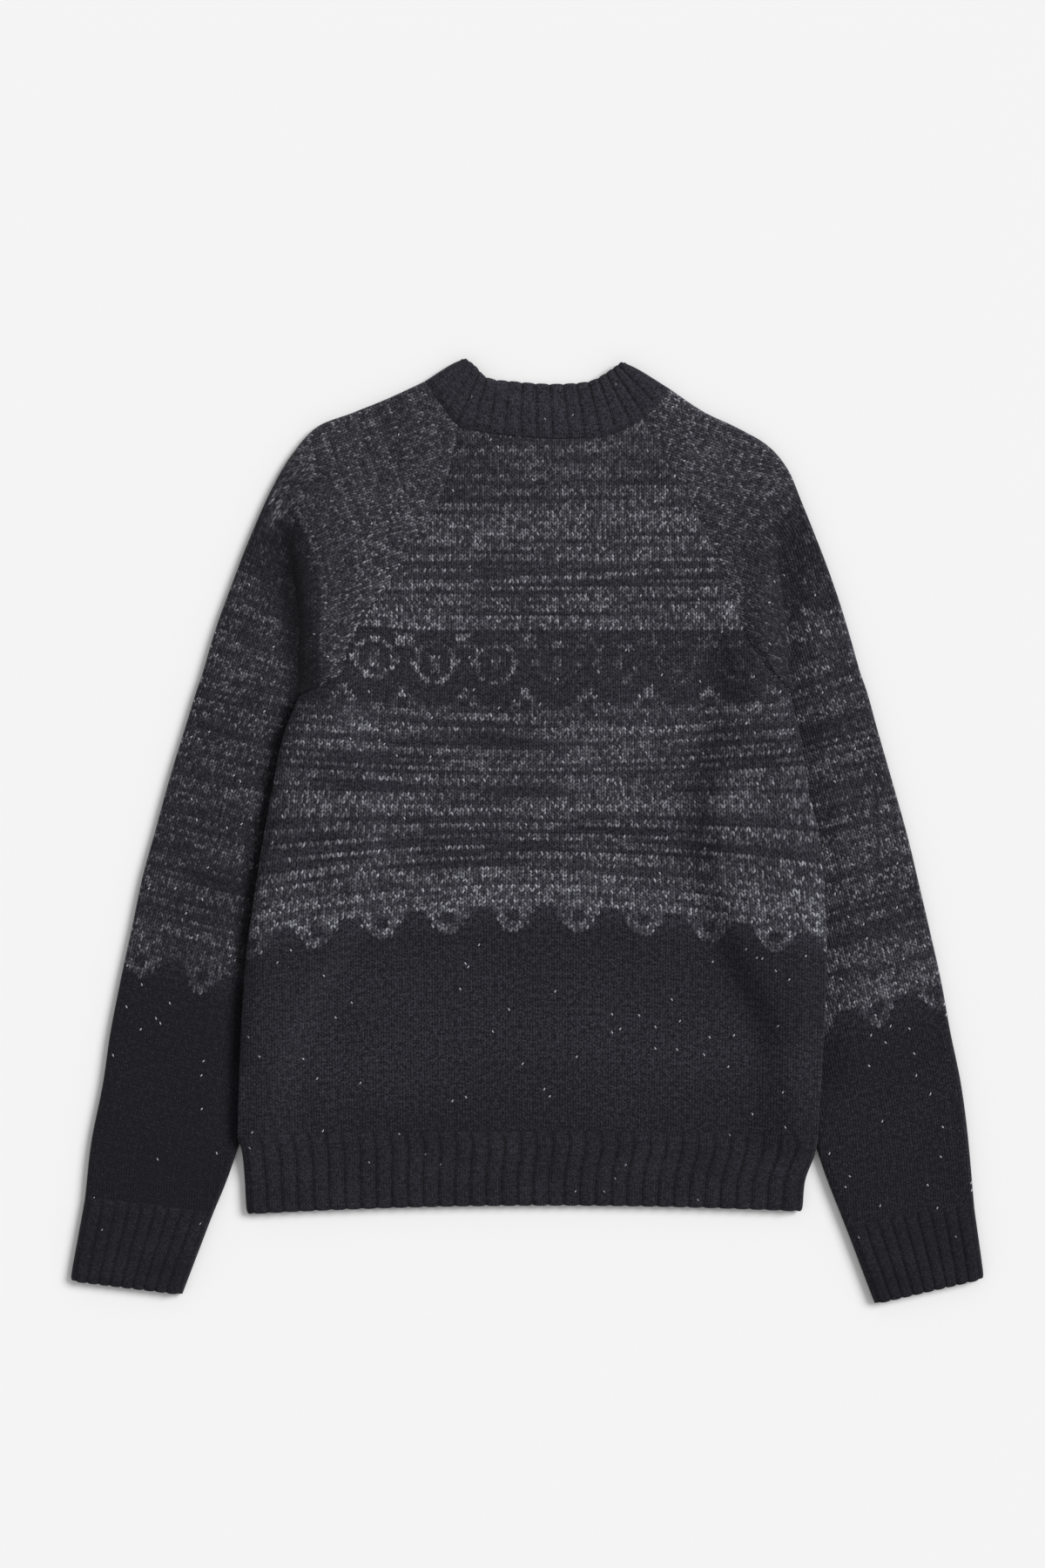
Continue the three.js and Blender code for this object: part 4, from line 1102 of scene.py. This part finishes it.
def yarn_colour(shader, stitches, colours, light, ground, groove, unevenness=1.0):
    """Dark marled yarn with a share of light fibre in each stitch; painted shade darkens it between stitches,
    and groove brings the painted shade of ribs' grooves and of deep creases.
    """
    marl = shader.noise(stitches.u * 2.9, stitches.v * 1.8, 3.0, 3.0)
    mottle = shader.noise(stitches.u * 1.1, stitches.v * 0.8, 2.0, 9.0)
    uneven = ((marl - 0.5) * 2.9 + (mottle - 0.5) * 1.5) * (ground * 2.2 + 0.38) * unevenness
    dark = mix_colour(shader, colours.dark_yarn, colours.mid_yarn, (ground + uneven).at_least(0.0))
    pale = mix_colour(shader, dark, colours.light_yarn, light.at_most(1.0))
    # Painted shade between stitches, times the painted shade that groove brings
    shade = stitches.height.step(-0.2, 0.8, 0.7, 1.06) * groove
    return shader.node("ShaderNodeVectorMath", [pale, shader.vector(shade, shade, shade)],
                       operation="MULTIPLY")


# Wales in one repeat of the pattern
REPEAT = 12.0

# Motifs of the dark band, half their width in wales and half their height in courses: the ring and the
# thickness of its line, the bar within it, the tuft and the tear between two rings, and the peaks of
# the band's lower edge
RING = (4.1, 5.4, 0.15)
BAR = (0.9, 2.1)
CROWN = 1.6
TEAR_HEIGHT = 2.2
PEAK = (3.4, 5.5)

# Scallops below the light zone: half their width and their depth, and the hole in each
SCALLOP = (4.2, 7.2)
HOLE = (1.4, 2.0)

# Courses of each piece's pattern: top, middle and foot of the dark band, and foot of the light zone
# (edge); the wales of a motif's middle and of a scallop's; the strength of the motifs, how much of the
# light the band takes away (depth) and the strength of the scallops (lace); and the stops of the
# stripes: course, share of light stitches, how much stripes change it, and how light the ground is
BODY_PATTERN = dict(
    top=55.0, middle=45.6, foot=33.4, edge=-21.4, motif=0.0, scallop=4.0, strength=0.55, depth=1.0,
    lace=1.0, seed=11.0,
    stops=[
        (-110, 0.0, 0.0, 0.14), (-84, 0.0, 0.0, 0.14), (-62, 0.0, 0.0, 0.36), (-29, 0.0, 0.0, 0.23),
        (-22, 0.7, 0.4, 0.44), (-15, 0.66, 0.6, 0.41), (-8, 0.39, 0.95, 0.33), (4, 0.37, 0.95, 0.33),
        (14, 0.35, 0.95, 0.33), (26, 0.44, 0.85, 0.34), (33, 0.52, 0.6, 0.36), (56, 0.75, 0.3, 0.38),
        (59, 0.42, 0.9, 0.34), (66, 0.4, 0.9, 0.33), (84, 0.37, 0.8, 0.32), (96, 0.33, 0.6, 0.32),
        (108, 0.3, 0.4, 0.31),
    ])
LEFT_PATTERN = dict(
    BODY_PATTERN, top=7.0, middle=0.5, foot=-7.0, edge=-115.0, motif=4.0, scallop=3.2, strength=0.2,
    depth=1.0, lace=0.5, seed=23.0,
    stops=[
        (-190, 0.0, 0.0, 0.03), (-123, 0.0, 0.0, 0.06), (-115, 0.34, 0.5, 0.22), (-104, 0.27, 0.65, 0.19),
        (-60, 0.24, 0.65, 0.15), (-30, 0.28, 0.65, 0.17), (-10, 0.24, 0.6, 0.18), (9, 0.28, 0.4, 0.25),
        (20, 0.32, 0.4, 0.3), (40, 0.36, 0.4, 0.32), (64, 0.34, 0.3, 0.32),
    ])
RIGHT_PATTERN = dict(
    LEFT_PATTERN, top=12.0, foot=-13.0, edge=-119.0, motif=3.0, scallop=1.3, strength=0.25, depth=0.8,
    lace=0.6, seed=37.0,
    stops=[
        (-190, 0.0, 0.0, 0.12), (-128, 0.0, 0.0, 0.16), (-119, 0.38, 0.5, 0.3), (-108, 0.32, 0.7, 0.28),
        (-60, 0.3, 0.7, 0.27), (-30, 0.32, 0.7, 0.27), (-10, 0.28, 0.6, 0.26), (9, 0.32, 0.4, 0.28),
        (20, 0.36, 0.4, 0.32), (40, 0.4, 0.4, 0.34), (64, 0.38, 0.3, 0.34),
    ])


# Ribbing: tone of its yarn, shade of its grooves and share of the rib height
RIBBING = {"collar": (0.3, 0.76, 0.85), "hem": (0.06, 0.7, 0.85), "cuff": (-0.03, 0.74, 0.8)}

# Neps: the random value above which a leg holds one, how far it reaches, and how light it is
PATTERN_NEPS = (0.9955, 0.8, 1.0)
RIB_NEPS = (0.9975, 0.7, 0.7)

# How much coarser the points of the hidden front are
FRONT_COARSENESS = 1.5


def repeat_from(wale, centre):
    """Wales from the nearest repeat's middle, from -6 to 6."""
    return ((wale + (0.5 - centre + REPEAT / 2)) / REPEAT).fraction() * REPEAT - REPEAT / 2


def oval(x, y, half_width, half_height):
    """Square of the distance from an oval's middle, 1 on its edge."""
    x, y = x / half_width, y / half_height
    return x * x + y * y


def patterned_knit(name, pattern, colours, sizes):
    """Stranded knitting: light stripes, a dark band with ring motifs, scallops and a plain foot."""
    shader = Shader(name)
    stitches = Stitches(shader)
    wale, course, seed = stitches.wale, stitches.course, pattern["seed"]
    tuft_random, leg_random, nep_random = shader.randoms(stitches.leg, course, seed)
    row_random, _, _ = shader.randoms(0.0, course, seed + 1)
    first, last = pattern["stops"][0][0], pattern["stops"][-1][0]
    stops = [((place - first) / (last - first), rest) for place, *rest in pattern["stops"]]
    zone = shader.node("ShaderNodeValToRGB", [(course - first) / (last - first)], stops=stops)
    share, swing, ground = shader.parts(zone, "ShaderNodeSeparateColor")

    # Stripes come and go along a course, and the seams hold a few light stitches
    streak = shader.noise(wale / 26, course * 0.5, 0.6, seed + 2)
    cloud = shader.noise(stitches.u / 30, stitches.v / 26, 1.0, seed + 3)
    rows = (streak * 0.8 + row_random * 0.2).step(0.38, 0.6, 1 - swing, 1 + swing)
    share = share * rows + (cloud - 0.5) * 0.4 * share.step(0.0, 0.2)
    bright_seam = shader.stored("seam").step(2.0, 9.0, 1.0, 0.0) * (leg_random > 0.7)
    bright_seam = bright_seam * share.step(-0.2, 0.1)
    share = share.at_least(0.0).at_most(1.5) + bright_seam * 0.5

    # The dark band with its motifs, which are boldest at the left
    across = repeat_from(wale, pattern["motif"])
    rise = course + (0.5 - pattern["middle"])
    narrow = across.size() + (rise * -0.22).at_least(0.0)
    ring = (oval(narrow, rise, *RING[:2]).root() - 1).size() < RING[2]
    bar = (across.size() < BAR[0]) * (rise.size() < BAR[1]) * 0.6
    between = repeat_from(wale, pattern["motif"] + REPEAT / 2)
    crown = (between.size() < CROWN) * ((course + (0.5 - pattern["top"] + 3.0)).size() < CROWN)
    peak = (1 - between.size() / PEAK[0]).at_least(0.0)
    band_foot = course - (peak * PEAK[1] + pattern["foot"])
    tear_rise = (course + (0.5 - pattern["foot"] - 1.0)) / TEAR_HEIGHT
    tear = (between * between + tear_rise * tear_rise) < 0.8
    in_band = ((band_foot > 0) * (course < pattern["top"])).at_least(tear)
    spots = (ring + bar + crown * 0.6).at_most(1.0) * (0.75 - wale * 0.02).at_least(0.5)
    patchy = shader.noise(stitches.u / 4, stitches.v / 5, 0.5, seed + 8).step(0.36, 0.62, 0.15, 1.6)
    bold = patchy + (wale * -1).step(24.0, 30.0, 0.0, 0.6)
    share = share * (1 - in_band * pattern["depth"]) + in_band * (spots * pattern["strength"] * bold + 0.06)
    ground = ground - in_band * 0.1 + (cloud - 0.5) * ground

    # Scallops hang from the light zone, and nothing light is below them
    edge = pattern["edge"]
    hang = repeat_from(wale, pattern["scallop"]) + (nep_random - 0.5) * 0.9
    half = hang / SCALLOP[0]
    over_edge = course - (edge - (1 - half * half).at_least(0.0) * SCALLOP[1])
    hole = oval(hang, course + (0.5 - edge + 2.0), *HOLE) < 0.9
    below = course < edge
    blob = (over_edge > 0) * below * (1 - hole)
    share = share * (1 - below) + blob * (patchy * 0.42 + 0.18) * pattern["lace"]
    ground = ground + blob * 0.2

    # Light fibre shows in broken tufts, and painted shade in the deep creases dims it and the whole yarn
    tuft = tuft_random * tuft_random * (leg_random * 0.7 + 0.3) * 1.5
    broken = shader.noise(stitches.u * 2.8, stitches.v * 1.8, 2.0, seed + 6).step(0.3, 0.65, 0.15, 1.3)
    light = share * (tuft + 0.04) * broken * stitches.height.step(0.0, 0.8) * colours.fleck
    neps = stitches.neps(nep_random, *PATTERN_NEPS)
    # Painted shade: the deep creases darken the light fibre and the whole yarn colour
    crease_shade_factor = 1 - shader.stored("painted_crease_shade")
    colour = yarn_colour(shader, stitches, colours, light.at_least(neps) * crease_shade_factor, ground, crease_shade_factor)
    return knit_surface(shader, stitches, colour, sizes.stitch_relief, colours.nap)


def rib_knit(name, tone, groove_shade, colours, sizes):
    """Plain two-by-one ribbing with a few pale neps."""
    shader = Shader(name)
    stitches = Stitches(shader)
    _, _, nep_random = shader.randoms(stitches.leg, stitches.course, 31.0)
    # Painted shade on the wale in each rib's groove, where the purl stitches lie recessed
    rib = (stitches.u / WALES_PER_RIB).fraction() * WALES_PER_RIB - 0.5
    groove = rib.size().at_most((rib - WALES_PER_RIB).size()).step(0.15, 0.75, groove_shade, 1.0)
    ground = shader.noise(stitches.u / 9, stitches.v / 7, 1.0, 5.0) * 0.3 + tone
    neps = stitches.neps(nep_random, *RIB_NEPS)
    colour = yarn_colour(shader, stitches, colours, neps, ground, groove, 0.7)
    return knit_surface(shader, stitches, colour, sizes.stitch_relief * 0.55, colours.nap)


class JumperSizes(bpy.types.PropertyGroup):
    """Sizes that change how fine and how deep the knitting is."""
    spacing: bpy.props.FloatProperty(
        name="Cloth step", description="Distance between points of the cloth", default=3.0 * MM,
        min=1.5 * MM, unit="LENGTH")
    rib_height: bpy.props.FloatProperty(
        name="Rib height", description="Height of a rib above its groove", default=1.5 * MM,
        unit="LENGTH")
    stitch_relief: bpy.props.FloatProperty(
        name="Stitch relief", description="Depth of the stitches", default=0.9 * MM, unit="LENGTH")
    camera_distance: bpy.props.FloatProperty(
        name="Camera distance", description="Height of the camera over the cloth", default=3.2,
        unit="LENGTH")


class JumperColours(bpy.types.PropertyGroup):
    """Yarn colours and how much of the light one shows."""
    dark_yarn: bpy.props.FloatVectorProperty(
        name="Dark yarn", description="Darkest fibre of the yarn", subtype="COLOR",
        default=(0.0078, 0.0073, 0.0104))
    mid_yarn: bpy.props.FloatVectorProperty(
        name="Mid yarn", description="Paler fibre spun into the dark yarn", subtype="COLOR",
        default=(0.044, 0.0425, 0.0558))
    light_yarn: bpy.props.FloatVectorProperty(
        name="Light yarn", description="Light fibre of the pattern", subtype="COLOR",
        default=(0.33, 0.333, 0.372))
    fleck: bpy.props.FloatProperty(
        name="Flecks", description="Strength of the light stitches", default=1.0, min=0.0, max=1.5)
    nap: bpy.props.FloatProperty(
        name="Nap", description="Sheen of the loose fibres", default=0.1, min=0.0, max=1.0)


def settings(context):
    return context.scene.jumper_sizes, context.scene.jumper_colours


class JUMPER_OT_body(bpy.types.Operator):
    """Makes the back and the front"""
    bl_idname = "jumper.body"
    bl_label = "Back and front"

    def execute(self, context):
        sizes, colours = settings(context)
        step = sizes.spacing / MM
        material = patterned_knit("body_knit", BODY_PATTERN, colours, sizes)
        back = body_panel("back_knit", BACK_BODY, BACK_NECK, True, step)
        declare(back, material)
        front = body_panel("front_knit", FRONT_BODY, FRONT_NECK, False, step * FRONT_COARSENESS)
        declare(front, material)
        return {"FINISHED"}


class JUMPER_OT_sleeves(bpy.types.Operator):
    """Makes both sleeves"""
    bl_idname = "jumper.sleeves"
    bl_label = "Sleeves"

    def execute(self, context):
        sizes, colours = settings(context)
        for name, table, side, pattern in (
                ("sleeve_left_knit", LEFT_SLEEVE, -1, LEFT_PATTERN),
                ("sleeve_right_knit", RIGHT_SLEEVE, 1, RIGHT_PATTERN)):
            piece = sleeve(name, table, side, sizes.spacing / MM)
            declare(piece, patterned_knit(name, pattern, colours, sizes))
        return {"FINISHED"}


class JUMPER_OT_ribbing(bpy.types.Operator):
    """Makes the collar, the welt and the cuffs"""
    bl_idname = "jumper.ribbing"
    bl_label = "Ribbing"

    def execute(self, context):
        sizes, colours = settings(context)
        materials = {part: rib_knit(f"{part}_rib_knit", tone, groove, colours, sizes)
                     for part, (tone, groove, _) in RIBBING.items()}
        heights = {part: sizes.rib_height * share for part, (_, _, share) in RIBBING.items()}
        collar = collar_ring("collar_knit", heights["collar"])
        declare(collar, materials["collar"])
        for side, under in (("back", ["hem_rib_front", "sleeve_left", "sleeve_right"]), ("front", ["floor"])):
            welt = hem_rib(f"hem_rib_{side}_knit", side == "back", heights["hem"])
            declare(welt, materials["hem"])
        for side, table in (("left", LEFT_CUFF), ("right", RIGHT_CUFF)):
            made = cuff(f"cuff_{side}_knit", table, heights["cuff"])
            declare(made, materials["cuff"])
        return {"FINISHED"}


# The photograph's frame in millimetres on the cloth, and its middle
FRAME_HEIGHT = 1296.0
FRAME_MIDDLE = (-4.0, 37.8)
CLOTH_LEVEL = 9.0

# Stage: size and depth of the floor, strength of the sky, and strength, width and turn of the key light
FLOOR_SIZE = 40
FLOOR_DEPTH = 0.0002
SKY = 0.52
KEY = (3.0, math.radians(28), (0, math.radians(50), math.radians(28)))
SENSOR = 36


class JUMPER_OT_stage(bpy.types.Operator):
    """Makes the floor, the lights and the camera"""
    bl_idname = "jumper.stage"
    bl_label = "Stage"

    def execute(self, context):
        bpy.ops.object.select_all(action="DESELECT")
        bpy.ops.mesh.primitive_plane_add(size=FLOOR_SIZE, location=(0, 0, -FLOOR_DEPTH))
        floor = context.object
        floor.name = "floor"
        shader = Shader("paper_floor")
        shader.set(Base_Color=(0.8, 0.8, 0.8, 1), Roughness=0.9, Specular_IOR_Level=0.1)
        floor.data.materials.append(shader.material)

        world = context.scene.world = bpy.data.worlds.new("studio")
        world.use_nodes = True
        sky = world.node_tree.nodes["Background"].inputs
        sky[0].default_value, sky[1].default_value = (1, 1, 1, 1), SKY
        bpy.ops.object.light_add(type="SUN", location=(2, 1, 2))
        key = context.object
        key.name = "key"
        key.data.energy, key.data.angle, key.rotation_euler = KEY

        distance = context.scene.jumper_sizes.camera_distance
        x, y = FRAME_MIDDLE
        bpy.ops.object.camera_add(location=(x * MM, y * MM, distance + CLOTH_LEVEL * MM))
        camera = context.scene.camera = context.object
        camera.data.sensor_width = SENSOR
        camera.data.lens = SENSOR * distance / (FRAME_HEIGHT * MM)
        camera.data.clip_end = 30
        context.scene.view_settings.view_transform = "Standard"
        return {"FINISHED"}


class JUMPER_PT_panel(bpy.types.Panel):
    bl_label = "Jumper"
    bl_space_type = "VIEW_3D"
    bl_region_type = "UI"
    bl_category = "Jumper"

    def draw(self, context):
        for group in (context.scene.jumper_sizes, context.scene.jumper_colours):
            for name in group.__annotations__:
                self.layout.prop(group, name)
        for operator in OPERATORS:
            self.layout.operator(operator.bl_idname)


OPERATORS = (JUMPER_OT_body, JUMPER_OT_sleeves, JUMPER_OT_ribbing, JUMPER_OT_stage)
CLASSES = (JumperSizes, JumperColours, *OPERATORS, JUMPER_PT_panel)


def register():
    for part in CLASSES:
        bpy.utils.register_class(part)
    bpy.types.Scene.jumper_sizes = bpy.props.PointerProperty(type=JumperSizes)
    bpy.types.Scene.jumper_colours = bpy.props.PointerProperty(type=JumperColours)


def unregister():
    del bpy.types.Scene.jumper_colours
    del bpy.types.Scene.jumper_sizes
    for part in reversed(CLASSES):
        bpy.utils.unregister_class(part)


def main():
    register()
    bpy.ops.jumper.body()
    bpy.ops.jumper.sleeves()
    bpy.ops.jumper.ribbing()
    bpy.ops.jumper.stage()


if __name__ == "__main__":
    main()
